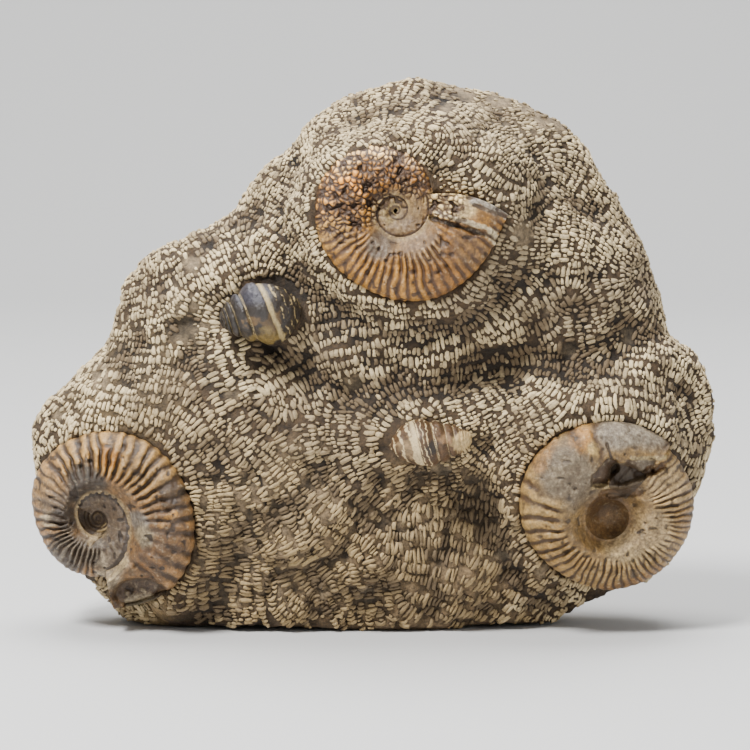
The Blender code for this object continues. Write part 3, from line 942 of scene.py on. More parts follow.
@dataclass
class CoiledShell:
    """One ammonite: a ribbed tube that coils in the face, its older turns partly hidden by the newer."""

    form: ShellForm
    ground: str
    dabs: tuple[Dab, ...]
    dents: Table = ()  # degrees back from the mouth, place across, their reaches, depth in mm
    pebbles: Table = ()  # pebbly and smooth areas: x, z, radius, strength
    smooth_areas: Table = ()
    navel: tuple[float, ...] = ()  # the dish's radius, that of its rings, its level, its edge's level
    row_step: float = 0.42  # between two rows of vertices at the rim, in mm
    rib_lean: float = 0.0
    rib_start: tuple[float, float] = (0.06, 0.3)  # where across the whorl the ribs set in
    rib_counts: tuple[float, ...] = ()  # in each eighth of a turn back from the mouth
    inner_ribs: float = 0.65  # how strong the ribs of the older turns are
    sunk: float = 0.4  # how far the older turns lie below the newest
    rib_width: float = 1.2
    wander: float = 0.04
    rings: float = 0.35  # height of the navel's rings in mm
    pitted: float = 0.7
    inner_colour: str = ""
    lip: str = ""

    def section(self) -> tuple[Array, Array, Array]:
        """The tube's cross-section, from its hidden inner foot over the flank to its outer foot.

        Returns:
            Share of the whorl's width, share of its height, and depth below the middle plane in mm.
        """
        inner = np.linspace(0, 0.35, 28)
        wall = 0.42 + 0.58 * smooth_step(0.0, 0.3, inner)
        swing = np.radians(np.linspace(0, 112, 60))[1:]
        share = np.concatenate([[0.02, 0.01, 0], inner[1:], 0.35 + 0.65 * np.sin(swing), [0.9]])
        lift = np.concatenate([[0, 0.2, 0.42], wall[1:], np.maximum(np.cos(swing), 0), [0]])
        under = np.minimum(np.cos(swing), 0) * -7
        depth = np.concatenate([[self.form.root, 3, 0], inner[1:] * 0, under, [self.form.root]])
        return share, lift, depth

    def ribbing(self, back: Array, share: Array) -> Array:
        """Shape of the ribs.

        Args:
            back: angles back from the mouth, in radians.
            share: places across the whorl, from 0 at its inner edge to 1 at its rim.

        Returns:
            1 on a rib and -1 between two.
        """
        turns = back / FULL_TURN
        counts = self.rib_counts or (self.form.ribs / 8,) * 8
        total = np.concatenate([[0], np.cumsum(counts)])
        inward = np.maximum(turns - 1, 0) * total[-1] * 0.6
        phase = np.interp(np.minimum(turns, 1), np.linspace(0, 1, 9), total) + inward
        wave = np.cos(FULL_TURN * (phase + self.rib_lean * share * (1 - 0.5 * share)))
        return 1 - 2 * ((1 - wave) / 2) ** self.rib_width

    def areas(self, x: Array, z: Array, spots: Table) -> Array:
        """How far places in mm lie inside soft round areas (x, z, radius, strength), from 0 to 1."""
        cover = np.zeros_like(x)
        for spot_x, spot_z, radius, strength in spots:
            away = np.hypot(x - spot_x, z - spot_z) / radius
            cover = np.maximum(cover, strength * smooth_step(1.2, 0.7, away))
        return cover

    def build(self, offset: Vector) -> Piece:
        """Coil the tube and lay it in the face.

        Args:
            offset: what the face's mm are moved by, in metres.

        Returns:
            The mesh object, with attributes for its material.
        """
        form = self.form
        share_row, lift_row, depth_row = self.section()
        columns = len(share_row) + 1
        steps = [0.0]
        while steps[-1] < FULL_TURN * form.turns:
            steps.append(steps[-1] + self.row_step / float(eighths(form.rim, np.array(steps[-1:]))[0]))
        rows = len(steps)
        back = np.repeat(steps, columns)
        pick = np.tile(np.r_[np.arange(columns - 1), 0], rows)
        share, lift, depth = share_row[pick], lift_row[pick], depth_row[pick]
        inner = eighths(form.seam, back)
        rim = eighths(form.rim, back)
        size = rim / form.rim[0]
        height = form.crest * size**0.8 * lift - depth * np.maximum(size, 0.25)
        height *= 1 - self.sunk * smooth_step(0.85, 1.2, back / FULL_TURN)
        over = eighths(form.seam, back - FULL_TURN) - inner - (rim - inner) * share
        over = np.where(back > FULL_TURN, over, FAR)
        above = (depth <= 0) & (lift > 0)
        for dent_back, dent_share, long, wide, deep in self.dents:
            along = (np.degrees(back) - dent_back) / long
            height -= above * deep * np.exp(-(along**4) - ((share - dent_share) / wide) ** 4)
        lean = math.radians(form.mouth_lean) * share * np.exp(-np.degrees(back) / LEAN_FADE)
        angle = math.radians(form.mouth) - form.growth * back + lean
        radius = inner + (rim - inner) * share
        x = form.centre[0] + radius * np.cos(angle)
        z = form.centre[1] + radius * np.sin(angle)
        flat = np.stack([x, np.zeros_like(x), z], 1) * MM
        worn = self.areas(x, z, self.smooth_areas)
        rough = self.areas(x, z, self.pebbles)
        strength = smooth_step(*self.rib_start, share) * (1 - worn)
        strength *= 1 - (1 - self.inner_ribs) * smooth_step(0.95, 1.1, back / FULL_TURN)
        strength *= bumps(flat, ((0.45, 6, 11), (0.45, 2.3, 18)), 0.85)
        strength *= 1 - 0.5 * smooth_step(0.9, 1.0, share)
        wander = self.wander * bumps(flat, ((1.0, 9, 17), (0.4, 3.5, 23)))
        raw = self.ribbing(back + wander * 38 / np.maximum(rim, 10), share)
        joint, own = pebble_edges(flat + 0.9 * MM * lattice_noise(flat, 2.4 * MM, 12)[:, None], 2.5 * MM, 13)
        grains = 2 * smooth_step(0.0, 0.75, joint) - 1 + 0.9 * (own - 0.5) - 1.6 * (own < 0.1)
        ribs = raw * strength * (1 - rough) + rough * grains
        pits = smooth_step(0.5, 0.75, lattice_noise(flat, 2.6 * MM, 22)) * self.pitted * (share > 0.1)
        relief = form.rib_height * 1.3 * size**0.5 * ribs - 0.9 * pits
        relief += bumps(flat, ((0.5, 7, 14), (0.45, 3, 19)))
        relief += 0.4 * lattice_noise(flat, 1.5 * MM, 15) * (1 - 0.6 * worn)
        relief += raised(flat, self.dabs) * above
        outward = smooth_step(0.55, 0.98, share)
        grow = 1 + relief * outward * 0.35 / np.maximum(radius, 2)
        x = form.centre[0] + (x - form.centre[0]) * grow
        z = form.centre[1] + (z - form.centre[1]) * grow
        height += relief * (1 - 0.7 * outward) * (depth < form.root)
        y = -(form.plane(x, z) + height)
        points = np.stack([x, y, z], 1) * MM + np.array(offset)
        paint = painted(flat, self.ground, self.dabs)
        paint *= (1 + rough * 0.7 * (own - 0.4))[:, None]
        if self.inner_colour:
            lay_over(paint, self.inner_colour, 0.85 * smooth_step(1.0, 1.02, back / FULL_TURN))
        if self.lip:
            lip = smooth_step(0.09, 0.03, share) * smooth_step(1.15, 1.0, back / FULL_TURN) * (depth <= 0)
            lay_over(paint, self.lip, 0.85 * lip)
        between_pebbles = rough * np.maximum(smooth_step(0.15, 0.03, joint), 1.0 * (own < 0.1))
        # dark joints between pebbles, darker pits, and painted shade on an older turn where the newer whorl
        # lies over it
        cut = np.maximum.reduce([between_pebbles, smooth_step(1.6, 0.3, over * (over > 0)), 0.8 * pits])
        values = {"paint": paint, "rib": ribs, "cut": cut}
        shell = grid_sheet(form.name + "_shell", rows, columns, points, values)
        tidy_mesh(shell, WELD)
        if self.navel:
            self.add_navel(shell, offset)
        return shell

    def add_navel(self, shell: Piece, offset: Vector) -> None:
        """Join a ringed dish that closes the middle of the coil.

        Args:
            shell: the coil's mesh object, which takes the dish in.
            offset: what the face's mm are moved by, in metres.
        """
        form = self.form
        radius, flat_radius, level, edge_level = self.navel
        rings, spokes = 60, 140
        turn = np.tile(np.arange(spokes + 1) * FULL_TURN / spokes, rings)
        share = np.repeat(np.linspace(0, 1, rings), spokes + 1)
        x = form.centre[0] + radius * share * np.cos(turn)
        z = form.centre[1] + radius * share * np.sin(turn)
        flat = np.stack([x, 0 * x, z], 1) * MM
        inside = smooth_step(flat_radius, flat_radius * 0.85, radius * share)
        ripple = np.cos(FULL_TURN * (radius * share / 2.1)) * inside * self.rings
        height = level + (edge_level - level) * smooth_step(flat_radius * 0.75, radius, radius * share)
        height += ripple + raised(flat, self.dabs) + 0.2 * lattice_noise(flat, 3 * MM, 21)
        points = np.stack([x, -(form.plane(x, z) + height), z], 1) * MM + np.array(offset)
        paint = painted(flat, self.ground, self.dabs)
        values = {"paint": paint, "rib": 1.7 * ripple, "cut": np.zeros_like(x)}
        dish = grid_sheet(form.name + "_navel", rings, spokes + 1, points, values)
        tidy_mesh(dish, WELD, close=False)
        normals = vertex_array(dish, "normal")
        if normals[:, 1].sum() > 0:
            dish.data.flip_normals()
        join_pieces([shell, dish])


@dataclass
class Snail:
    """A small spiral snail that lies on its side, half in the rock; places are in mm on the face."""

    name: str
    apex: tuple[float, float, float]
    foot: tuple[float, float, float]
    width: float
    shrink: float  # size of a whorl against that of the one before it
    swell: float  # how far a whorl bulges between its seams
    blunt: float  # below one the spire is blunter than a cone
    turns: int
    ground: str
    dabs: tuple[Dab, ...]
    base_reach: float = 0.38  # how far the base goes past the foot, against the width
    rows_per_turn: int = 120
    columns: int = 26

    def point(self, turn: Array, t: Array) -> Array:
        """Places on the spiral.

        Args:
            turn: turns from the mouth towards the tip.
            t: places across a whorl, 1 at its lower seam and 0 at its upper one; above 1 on the base.

        Returns:
            Places in mm as x, y and z.
        """
        tip = np.array([self.apex[0], -self.apex[2], self.apex[1]], float)
        base = np.array([self.foot[0], -self.foot[2], self.foot[1]], float)
        along = base - tip
        length = float(np.linalg.norm(along))
        along /= length
        across = np.cross(along, (0.0, -1.0, 0.0))
        across /= np.linalg.norm(across)
        outward = np.cross(across, along)
        inside = np.minimum(t, 1)
        share = self.shrink**turn * (self.shrink + (1 - self.shrink) * inside)
        radius = self.width / 2 * share**self.blunt
        radius *= 1 + self.swell * np.sin(math.pi * inside) ** 0.8
        down = np.maximum(t - 1, 0)
        radius *= np.maximum(1 - np.sin(down * math.pi / 2) ** 1.7, 0) ** 0.75
        past = length * (1 - share) + self.base_reach * self.width
        distance = length * share + past * np.sin(down * math.pi / 2)
        phase = FULL_TURN * turn
        ring = np.outer(np.cos(phase) * radius, across) + np.outer(np.sin(phase) * radius, outward)
        return tip + np.outer(distance, along) + ring

    def build(self, offset: Vector) -> Piece:
        """Wind the shell.

        Args:
            offset: what the face's mm are moved by, in metres.

        Returns:
            The mesh object, with attributes for its material.
        """
        rows = self.rows_per_turn * self.turns + 1
        sheets = []
        for start, count in ((0.0, rows), (1.0, self.rows_per_turn + 1)):  # the coil, then its base
            turn = np.repeat(np.arange(count) / self.rows_per_turn, self.columns)
            t = np.tile(np.linspace(start, start + 1, self.columns), count)
            points = self.point(turn, t)
            metres = points * MM
            relief = bumps(metres, ((0.8, 3.6, 31), (0.6, 1.6, 32)))
            relief *= 0.8 * smooth_step(1, 1.3, t) if start else np.sin(math.pi * np.clip(t, 0, 1))
            outward = points - points.mean(0)
            outward /= np.linalg.norm(outward, axis=1)[:, None]
            places = metres + outward * relief[:, None] * MM + np.array(offset)
            values = {"across": t, "turn": turn, "paint": painted(metres, self.ground, self.dabs)}
            sheets.append(grid_sheet(self.name, count, self.columns, places, values))
        shell = join_pieces(sheets)
        tidy_mesh(shell, 2 * WELD)
        return shell


class Slot(Enum):
    """The record's material slots."""

    LIMESTONE = "limestone"
    TAN = "tan_shell"
    BROWN = "brown_shell"
    CREAM = "cream_shell"
    DARK_SNAIL = "dark_snail_shell"
    BROWN_SNAIL = "brown_snail_shell"


def add_node(tree: bpy.types.NodeTree, kind: str, links: dict | None = None, **settings) -> bpy.types.Node:
    """Add a node to a material.

    Args:
        tree: the material's node tree.
        kind: the node's type.
        links: for each input, a value or the output that feeds it.
        settings: the node's own fields.

    Returns:
        The node.
    """
    node = tree.nodes.new(kind)
    for name, value in settings.items():
        setattr(node, name, value)
    for name, value in (links or {}).items():
        if isinstance(value, Socket):
            tree.links.new(value, node.inputs[name])
        else:
            node.inputs[name].default_value = value
    return node


@dataclass
class NodePen:
    """Draws the nodes of one material; each method adds a node and returns what comes out of it."""

    tree: bpy.types.NodeTree
    place: Socket

    def noise(self, mm: float, detail: float = 3) -> Socket:
        """Noise from 0 to 1 whose bumps are so many mm wide."""
        links = {"Vector": self.place, "Scale": 1000 / mm, "Detail": detail, "Roughness": 0.6}
        return add_node(self.tree, "ShaderNodeTexNoise", links).outputs["Fac"]

    def read(self, name: str, output: str = "Fac") -> Socket:
        """An attribute that the mesh carries."""
        return add_node(self.tree, "ShaderNodeAttribute", attribute_name=name).outputs[output]

    def remap(self, value: Socket, *ends: float) -> Socket:
        """Turn the range ends[0] to ends[1] of a value into ends[2] to ends[3], held at both ends."""
        names = ("Value", "From Min", "From Max", "To Min", "To Max")
        return add_node(self.tree, "ShaderNodeMapRange", dict(zip(names, (value, *ends)))).outputs["Result"]

    def mix(self, share: Socket, first: Socket | str, second: Socket | str) -> Socket:
        """Blend two colours, either of them a hex code; share 0 gives the first."""
        first, second = (linear_colour(c) if isinstance(c, str) else c for c in (first, second))
        links = {0: share, 6: first, 7: second}
        return add_node(self.tree, "ShaderNodeMix", links, data_type="RGBA").outputs[2]

    def shade(self, colour: Socket, value: Socket) -> Socket:
        """Multiply a colour by a grey value."""
        links = {0: colour, 1: value}
        return add_node(self.tree, "ShaderNodeVectorMath", links, operation="MULTIPLY").outputs[0]

    def add(self, first: Socket, second: Socket | float, how: str = "ADD") -> Socket:
        """Add two values, or join them in another way."""
        return add_node(self.tree, "ShaderNodeMath", {0: first, 1: second}, operation=how).outputs[0]


Wired = tuple[Socket, Socket | float, Socket, float]


@dataclass(frozen=True)
class Surface:
    """What every finish has: a name, a roughness, a refractive index and the shader that they feed."""

    name: str
    roughness: float
    ior: float

    def wire(self, pen: NodePen) -> Wired:
        """Colour, roughness, height of the bumps from 0 to 1, and the mm that a height of 1 stands for."""
        raise NotImplementedError

    def build(self) -> bpy.types.Material:
        """Make the material.

        Returns:
            The material, which reads object coordinates and the mesh's own attributes.
        """
        material = bpy.data.materials.new(self.name)
        material.use_nodes = True
        tree = material.node_tree
        tree.nodes.clear()
        place = add_node(tree, "ShaderNodeTexCoord").outputs["Object"]
        colour, roughness, height, mm = self.wire(NodePen(tree, place))
        bump = add_node(tree, "ShaderNodeBump", {"Height": height, "Distance": mm * MM, "Strength": 1.0})
        links = {"Base Color": colour, "Roughness": roughness, "IOR": self.ior, "Normal": bump.outputs[0]}
        shader = add_node(tree, "ShaderNodeBsdfPrincipled", links)
        add_node(tree, "ShaderNodeOutputMaterial", {"Surface": shader.outputs[0]})
        return material


@dataclass(frozen=True)
class RawLimestone(Surface):
    """Worked limestone: dull, grainy, stained brown-grey, with painted shade in hollows and painted light on
    swellings.
    """

    def wire(self, pen: NodePen) -> Wired:
        """Stains of four sizes over the paint, painted shade in hollows and painted light on swellings, and a
        gritty bump.
        """
        grain = pen.noise(0.9, 2)
        value = pen.remap(pen.noise(30, 4), 0.3, 0.7, 0.84, 1.14)
        for amount in (
            pen.remap(pen.noise(6, 4), 0.3, 0.7, 0.7, 1.24),
            pen.remap(pen.noise(2.0, 5), 0.36, 0.64, 0.6, 1.35),
            pen.remap(grain, 0.3, 0.7, 0.78, 1.18),
            # painted shade: darker in hollows; painted light: lighter on swellings
            pen.remap(pen.read("hollow"), -0.4, 0.8, 1.2, 0.4),
        ):
            value = pen.add(value, amount, "MULTIPLY")
        colour = pen.shade(pen.read("paint", "Color"), value)
        rough = pen.remap(grain, 0.3, 0.7, self.roughness - 0.06, self.roughness + 0.08)
        return colour, rough, pen.add(pen.noise(2.2, 4), pen.noise(0.8, 2)), 0.6


@dataclass(frozen=True)
class ChiselledStone(Surface):
    """Bruised limestone under the chisel: pale crystals crushed white, dirty at the edge of each mark."""

    dim: str
    edge: str

    def wire(self, pen: NodePen) -> Wired:
        """Another tone for each mark, stains, painted shade in hollows, and a dark rim where a mark meets the
        rock.
        """
        stain = pen.remap(pen.noise(18, 5), 0.42, 0.6, 0.0, 0.9)
        # painted shade: marks that lie in hollows are dimmed
        painted_shade_and_dirt = pen.remap(pen.read("hollow"), -0.2, 0.9, -0.3, 1.0)
        tone = pen.add(pen.add(pen.read("tone"), stain), painted_shade_and_dirt)
        colour = pen.mix(pen.remap(tone, 0.2, 1.75, 0.0, 1.0), pen.read("paint", "Color"), self.dim)
        colour = pen.shade(colour, pen.remap(pen.noise(0.9, 2), 0.3, 0.7, 0.8, 1.14))
        fleck = pen.add(pen.noise(1.6, 3), pen.remap(pen.read("top"), 0.0, 1.0, -0.4, 0.36))
        colour = pen.mix(pen.remap(fleck, 0.28, 0.56, 0.0, 1.0), self.edge, colour)
        return colour, self.roughness, pen.noise(1.0, 3), 0.4


@dataclass(frozen=True)
class FossilShell(Surface):
    """Fossil shell turned to calcite: a little silky, stained in patches, with painted shade between the ribs
    and painted light on their crests.
    """

    painted_valley_shade: str
    painted_shade_and_dirt: str
    fleck: str
    fleck_share: float = 0.35

    def wire(self, pen: NodePen) -> Wired:
        """Blotches and grain over the paint, painted light on the rib crests, pale flecks, painted shade in
        the valleys between ribs, and dark joints, dark pits and painted shade where a newer whorl lies over
        an older one.
        """
        blotch = pen.noise(5, 4)
        patches = pen.remap(blotch, 0.32, 0.68, 0.6, 1.36)
        grain = pen.remap(pen.noise(1.1, 3), 0.32, 0.68, 0.68, 1.28)
        rib = pen.add(pen.read("rib"), pen.remap(pen.noise(1.6, 3), 0.3, 0.7, -0.3, 0.3))
        colour = pen.shade(pen.read("paint", "Color"), pen.add(patches, grain, "MULTIPLY"))
        # painted light on the rib crests and painted shade in their valleys
        colour = pen.shade(colour, pen.remap(rib, -0.2, 1.0, 0.9, 1.16))
        flecks = pen.remap(pen.noise(2.4, 5), 0.55, 0.68, 0.0, self.fleck_share)
        colour = pen.mix(flecks, colour, self.fleck)
        # painted shade: the valleys between the ribs are darkened
        colour = pen.mix(pen.remap(rib, -0.5, 0.35, 0.95, 0.0), colour, self.painted_valley_shade)
        # dark joints, darker pits, and painted shade where a newer whorl lies over an older turn
        colour = pen.mix(pen.remap(pen.read("cut"), 0.1, 0.7, 0.0, 0.85), colour, self.painted_shade_and_dirt)
        rough = pen.remap(blotch, 0.3, 0.7, self.roughness + 0.12, self.roughness - 0.08)
        return colour, rough, pen.add(pen.noise(1.8, 4), pen.noise(0.6, 2)), 0.35


@dataclass(frozen=True)
class BandedSnailShell(Surface):
    """Snail shell with pale sutures and worn pale threads that run round the whorl."""

    pale: str
    threads: float
    thread_share: float
    from_base: float

    def wire(self, pen: NodePen) -> Wired:
        """Threads that wander and fade from the base, a pale seam, blotches and grain."""
        across, turn = pen.read("across"), pen.read("turn")
        wander, blotch = pen.noise(5, 4), pen.noise(3, 4)
        colour = pen.shade(pen.read("paint", "Color"), pen.remap(blotch, 0.3, 0.7, 0.6, 1.35))
        lines = pen.add(across, self.threads, "MULTIPLY")
        for drift, factor in ((wander, 1.4), (turn, 0.5)):
            lines = pen.add(lines, pen.add(drift, factor, "MULTIPLY"))
        wave = pen.add(pen.add(lines, FULL_TURN, "MULTIPLY"), 0.0, "SINE")
        wave = pen.add(wave, pen.remap(blotch, 0.35, 0.65, -0.5, 0.5))
        near_base = pen.add(across, pen.add(turn, 0.55, "MULTIPLY"), "SUBTRACT")
        wave = pen.add(wave, pen.remap(near_base, self.from_base, self.from_base + 0.25, -1.6, 0.0))
        thread = pen.remap(wave, 0.9 - self.thread_share, 1.2 - self.thread_share, 0.0, 0.85)
        colour = pen.mix(thread, colour, self.pale)
        near = pen.add(pen.add(across, 0.5, "SUBTRACT"), 0.0, "ABSOLUTE")
        near = pen.add(near, pen.add(pen.add(wander, 0.5, "SUBTRACT"), 0.12, "MULTIPLY"))
        rising, falling = pen.remap(near, 0.42, 0.47, 0.0, 0.9), pen.remap(near, 0.54, 0.6, 1.0, 0.0)
        seam = pen.add(rising, falling, "MULTIPLY")
        colour = pen.mix(seam, colour, self.pale)
        grain = pen.remap(pen.noise(0.8, 2), 0.3, 0.7, 0.8, 1.15)
        return pen.shade(colour, grain), self.roughness, pen.noise(1.2, 4), 0.6


@dataclass(frozen=True)
class StudioCard(Surface):
    """Matte studio card for the sweep behind and under the stone."""

    colour: str
    cloud: str

    def wire(self, pen: NodePen) -> Wired:
        """A barely seen cloudiness, and the card's tooth."""
        clouds = pen.remap(pen.noise(400, 2), 0.3, 0.7, 0.0, 0.03)
        return pen.mix(clouds, self.colour, self.cloud), self.roughness, pen.noise(1.5, 2), 0.02


@dataclass(frozen=True)
class Studio:
    """A pale seamless sweep, a large soft lamp overhead and the camera. Sizes are in metres."""

    target: tuple[float, float, float] = (0.0007, 0.0, 0.1205)
    distance: float = 1.6
    elevation: float = 6.0
    lens: float = 160.0
    half_width: float = 3.6
    length: float = 8.4  # of the sweep, from its front edge over the floor and up the wall
    front_edge: float = -3.4
    bend_start: float = 1.9  # behind the stone
    bend_radius: float = 0.8
    daylight: float = 0.36
    lamps: tuple[tuple[str, tuple[float, float, float], float, float], ...] = (  # place, size and watts
        ("key_softbox", (-0.68, -0.82, 1.55), 0.45, 60),
        ("right_softbox", (1.6, -1.2, 0.8), 1.0, 6),
        ("backdrop_lamp", (0.0, 0.9, 2.8), 2.2, 138),
    )

    def build_sweep(self) -> Piece:
        """Bend a long card from the floor up behind the stone.

        Returns:
            The card's mesh object.
        """
        deselect_all()
        bpy.ops.mesh.primitive_grid_add(x_subdivisions=2, y_subdivisions=90, size=1)
        card = bpy.context.object
        card.name = card.data.name = "studio_sweep"
        points = vertex_array(card)
        run = (points[:, 1] + 0.5) * self.length + self.front_edge
        bend = np.clip((run - self.bend_start) / self.bend_radius, 0, math.pi / 2)
        y = np.minimum(run, self.bend_start) + self.bend_radius * np.sin(bend)
        z = self.bend_radius * (1 - np.cos(bend))
        z += np.maximum(run - self.bend_start - self.bend_radius * math.pi / 2, 0)
        move_vertices(card, np.stack([points[:, 0] * 2 * self.half_width, y, z], 1))
        bpy.ops.object.shade_smooth()
        card.data.materials.append(StudioCard("matte_card", 0.9, 1.45, "#CDCDCC", "#B8B6B2").build())
        return card

    def add_lamp(self, name: str, place: tuple[float, float, float], size: float, watts: float) -> None:
        """Hang a square soft lamp that faces the stone.

        Args:
            name: the lamp's name.
            place: its middle.
            size: its side.
            watts: its power.
        """
        data = bpy.data.lights.new(name, "AREA")
        data.shape, data.size, data.energy = "SQUARE", size, watts
        lamp = bpy.data.objects.new(name, data)
        lamp.location = place
        lamp.rotation_euler = (Vector((0, 0, 0.12)) - Vector(place)).to_track_quat("-Z", "Y").to_euler()
        bpy.context.scene.collection.objects.link(lamp)

    def build(self) -> None:
        """Set up the sweep, the lamps, the surrounding light and the camera."""
        self.build_sweep()
        for lamp in self.lamps:
            self.add_lamp(*lamp)
        world = bpy.data.worlds.new("studio")
        world.use_nodes = True
        background = world.node_tree.nodes["Background"]
        background.inputs[0].default_value = linear_colour("#F2F4F6")
        background.inputs[1].default_value = self.daylight
        bpy.context.scene.world = world
        data = bpy.data.cameras.new("camera")
        data.lens, data.sensor_width, data.clip_end = self.lens, 36.0, 20.0
        camera = bpy.data.objects.new("camera", data)
        tilt = math.radians(self.elevation)
        away = Vector((0, -math.cos(tilt), math.sin(tilt))) * self.distance
        camera.location = Vector(self.target) + away
        camera.rotation_euler = (-away).to_track_quat("-Z", "Y").to_euler()
        bpy.context.scene.collection.objects.link(camera)
        bpy.context.scene.camera = camera


@dataclass
class FossilPlate:
    """The whole object: the nodule, its chisel marks and the five fossils that they lay bare."""

    nodule: Nodule
    marks: ChiselMarks
    shells: tuple[tuple[CoiledShell, FossilShell, Slot], ...]
    snails: tuple[tuple[Snail, BandedSnailShell, Slot], ...]

    def place(self, piece: Piece, finish: Surface, slot: Slot, node: str = "") -> None:
        """Give a piece its finish and tie it to the body.

        Args:
            piece: the mesh object.
            finish: the finish it gets.
            slot: the record's slot for that finish; not used.
            node: the CAD node it stands for, if any.
        """
        piece.data.materials.clear()
        piece.data.materials.append(finish.build())
        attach(piece, "root")
        if node:
            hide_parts(node)
        LOG.info("%s: %d faces", piece.name, len(piece.data.polygons))

    def build(self) -> None:
        """Build and dress all pieces."""
        rock = self.nodule.build()
        offset = Vector(self.nodule.offset) * MM
        self.place(rock, RawLimestone("limestone_raw", 0.86, 1.55), Slot.LIMESTONE, "matrix")
        marks = self.marks.build(rock, offset, self.nodule.hollow)
        stone = ChiselledStone("limestone_chiselled", 0.84, 1.55, dim="#6E5C43", edge="#392A1A")
        self.place(marks, stone, Slot.LIMESTONE)
        for shell, finish, slot in self.shells:
            self.place(shell.build(offset), finish, slot, shell.form.name)
        for snail, finish, slot in self.snails:
            self.place(snail.build(offset), finish, slot, snail.name.replace("_shell", ""))


# The nodule's outline seen from the front, in mm.
OUTLINE = [
    (163, 106), (159, 121), (153, 132), (143, 142), (139, 157), (130, 177), (121, 197), (110, 213),
    (98, 232), (84, 245), (72, 251), (59, 255.5), (41, 258), (29, 260.5), (19, 262), (8, 260),
    (-6, 256), (-22, 248), (-33, 238), (-44, 227), (-56, 214), (-68, 198), (-82, 190.5), (-98, 183),
    (-111, 172.5), (-118, 161), (-123, 145), (-132.5, 130), (-145, 119), (-156.5, 106), (-162.5, 93),
    (-162, 78), (-161, 60), (-160, 44), (-152, 34), (-141, 26), (-134, 18), (-124, 6), (-110, -8),
    (-84, -18), (-40, -22), (10, -23), (50, -20), (78, -8), (98, 7), (110, 14), (128, 20), (142, 29),
    (150, 42), (153, 54), (158, 65), (162, 78), (164, 92),
]
# Swellings and hollows: x, z, half length, half width, lean in degrees and height, in mm.
FACE_LUMPS = [
    (40, 200, 62, 40, 0, 11), (104, 182, 26, 44, 20, 5), (-71, 176, 28, 17, 25, 7),
    (-64, 96, 42, 30, -20, 8), (-30, 52, 26, 32, 0, 4), (20, 97, 40, 14, 4, 9),
    (104, 112, 40, 20, 15, 8), (62, 127, 70, 11, 10, -9), (-40, 133, 44, 10, -35, -8),
    (44, 71, 24, 16, -25, -12), (62, 48, 9, 30, 20, -5), (-78, 38, 16, 26, 10, -6),
    (150, 92, 5, 26, -4, -5), (-88, 148, 9, 6, 30, -5), (46, 239, 5, 8, -10, -5),
    (-48, 137, 7, 5, -30, -7),
]
# The same for the back, which are a guess.
BACK_LUMPS = [
    (-60, 150, 50, 40, 30, 6), (70, 90, 55, 40, -20, 7), (10, 200, 45, 26, 0, -6),
    (-90, 60, 40, 34, 0, -5),
]
# How the chisel was held: x and z in mm, the angle of a mark's long axis in degrees and its length in mm.
STROKES = [
    (-14, 244, 15, 2.6), (-30, 229, 115, 3), (-47, 207, 60, 2.6), (-42, 193, 50, 2.8),
    (-35, 179, 50, 3), (-21, 164, 95, 3), (-66, 183, 118, 4), (-81, 179, 125, 4),
    (-105, 171, 110, 3.2), (-112, 157, 100, 3), (-88, 143, 165, 3.6), (-107, 135, 90, 3),
    (-95, 123, 85, 3), (-122, 123, 75, 3), (-71, 128, 25, 4), (-69, 116, 20, 4), (-131, 109, 75, 3.6),
    (-150, 95, 50, 3.6), (-150, 109, 60, 3), (-112, 109, 85, 3.2), (-90, 107, 60, 5),
    (-59, 99, 40, 4.5), (-76, 92, 40, 4.5), (-42, 123, 128, 5), (-33, 109, 95, 5), (-21, 104, 0, 3.6),
    (-26, 90, 12, 3.6), (-50, 87, 45, 4), (-14, 116, 100, 3.4), (3, 109, 130, 4), (1, 94, 0, 5),
    (-14, 95, 2, 4), (-76, 66, 3, 3.6), (-74, 39, 5, 4), (-71, 29, 170, 4), (-59, 20, 170, 3.6),
    (-50, 42, 30, 3.6), (-35, 47, 30, 4), (-26, 35, 30, 4.5), (-40, 66, 30, 3.6), (-16, 71, 55, 5),
    (-14, 51, 60, 4), (-2, 61, 40, 4), (-6, 79, 30, 4), (10, 75, 30, 3.6), (18, 51, 95, 4.5),
    (32, 42, 90, 5), (46, 47, 80, 5), (22, 27, 75, 5), (42, 23, 65, 4.5), (61, 18, 50, 4.5),
    (51, 61, 85, 4), (61, 42, 60, 3.6), (3, 23, 0, 3), (-21, 18, 20, 3), (-35, 13, 60, 3),
    (-59, 10, 10, 3), (-81, 13, 20, 3.4), (85, 18, 60, 3), (51, 114, 20, 3), (70, 109, 25, 3.5),
    (61, 94, 30, 3), (56, 80, 60, 3), (32, 74, 0, 2.3), (39, 133, 95, 4), (27, 147, 100, 4),
    (15, 135, 90, 3.6), (51, 133, 110, 5), (68, 147, 117, 5.5), (82, 133, 105, 4.5), (56, 159, 150, 4),
    (58, 171, 170, 4.5), (80, 157, 120, 4), (97, 143, 0, 4), (104, 157, 20, 4), (90, 127, 60, 3.4),
    (80, 227, 25, 4), (94, 215, 150, 2.8), (99, 193, 175, 3), (82, 183, 0, 3.5), (94, 171, 85, 3.5),
    (114, 174, 150, 2.8), (123, 162, 48, 4), (109, 143, 20, 3.5), (123, 135, 95, 3), (118, 121, 92, 5),
    (138, 122, 80, 4), (152, 119, 35, 4), (157, 99, 10, 4), (154, 85, 95, 4), (135, 152, 40, 3.4),
    (114, 194, 120, 2.8), (109, 214, 140, 2.8), (46, 236, 102, 4), (27, 229, 60, 2.6),
    (61, 224, 50, 2.6), (37, 217, 0, 2.6), (22, 248, 150, 3.5), (3, 248, 20, 2.6), (10, 239, 150, 3),
    (66, 248, 10, 3), (42, 251, 160, 3), (70, 205, 100, 3),
]
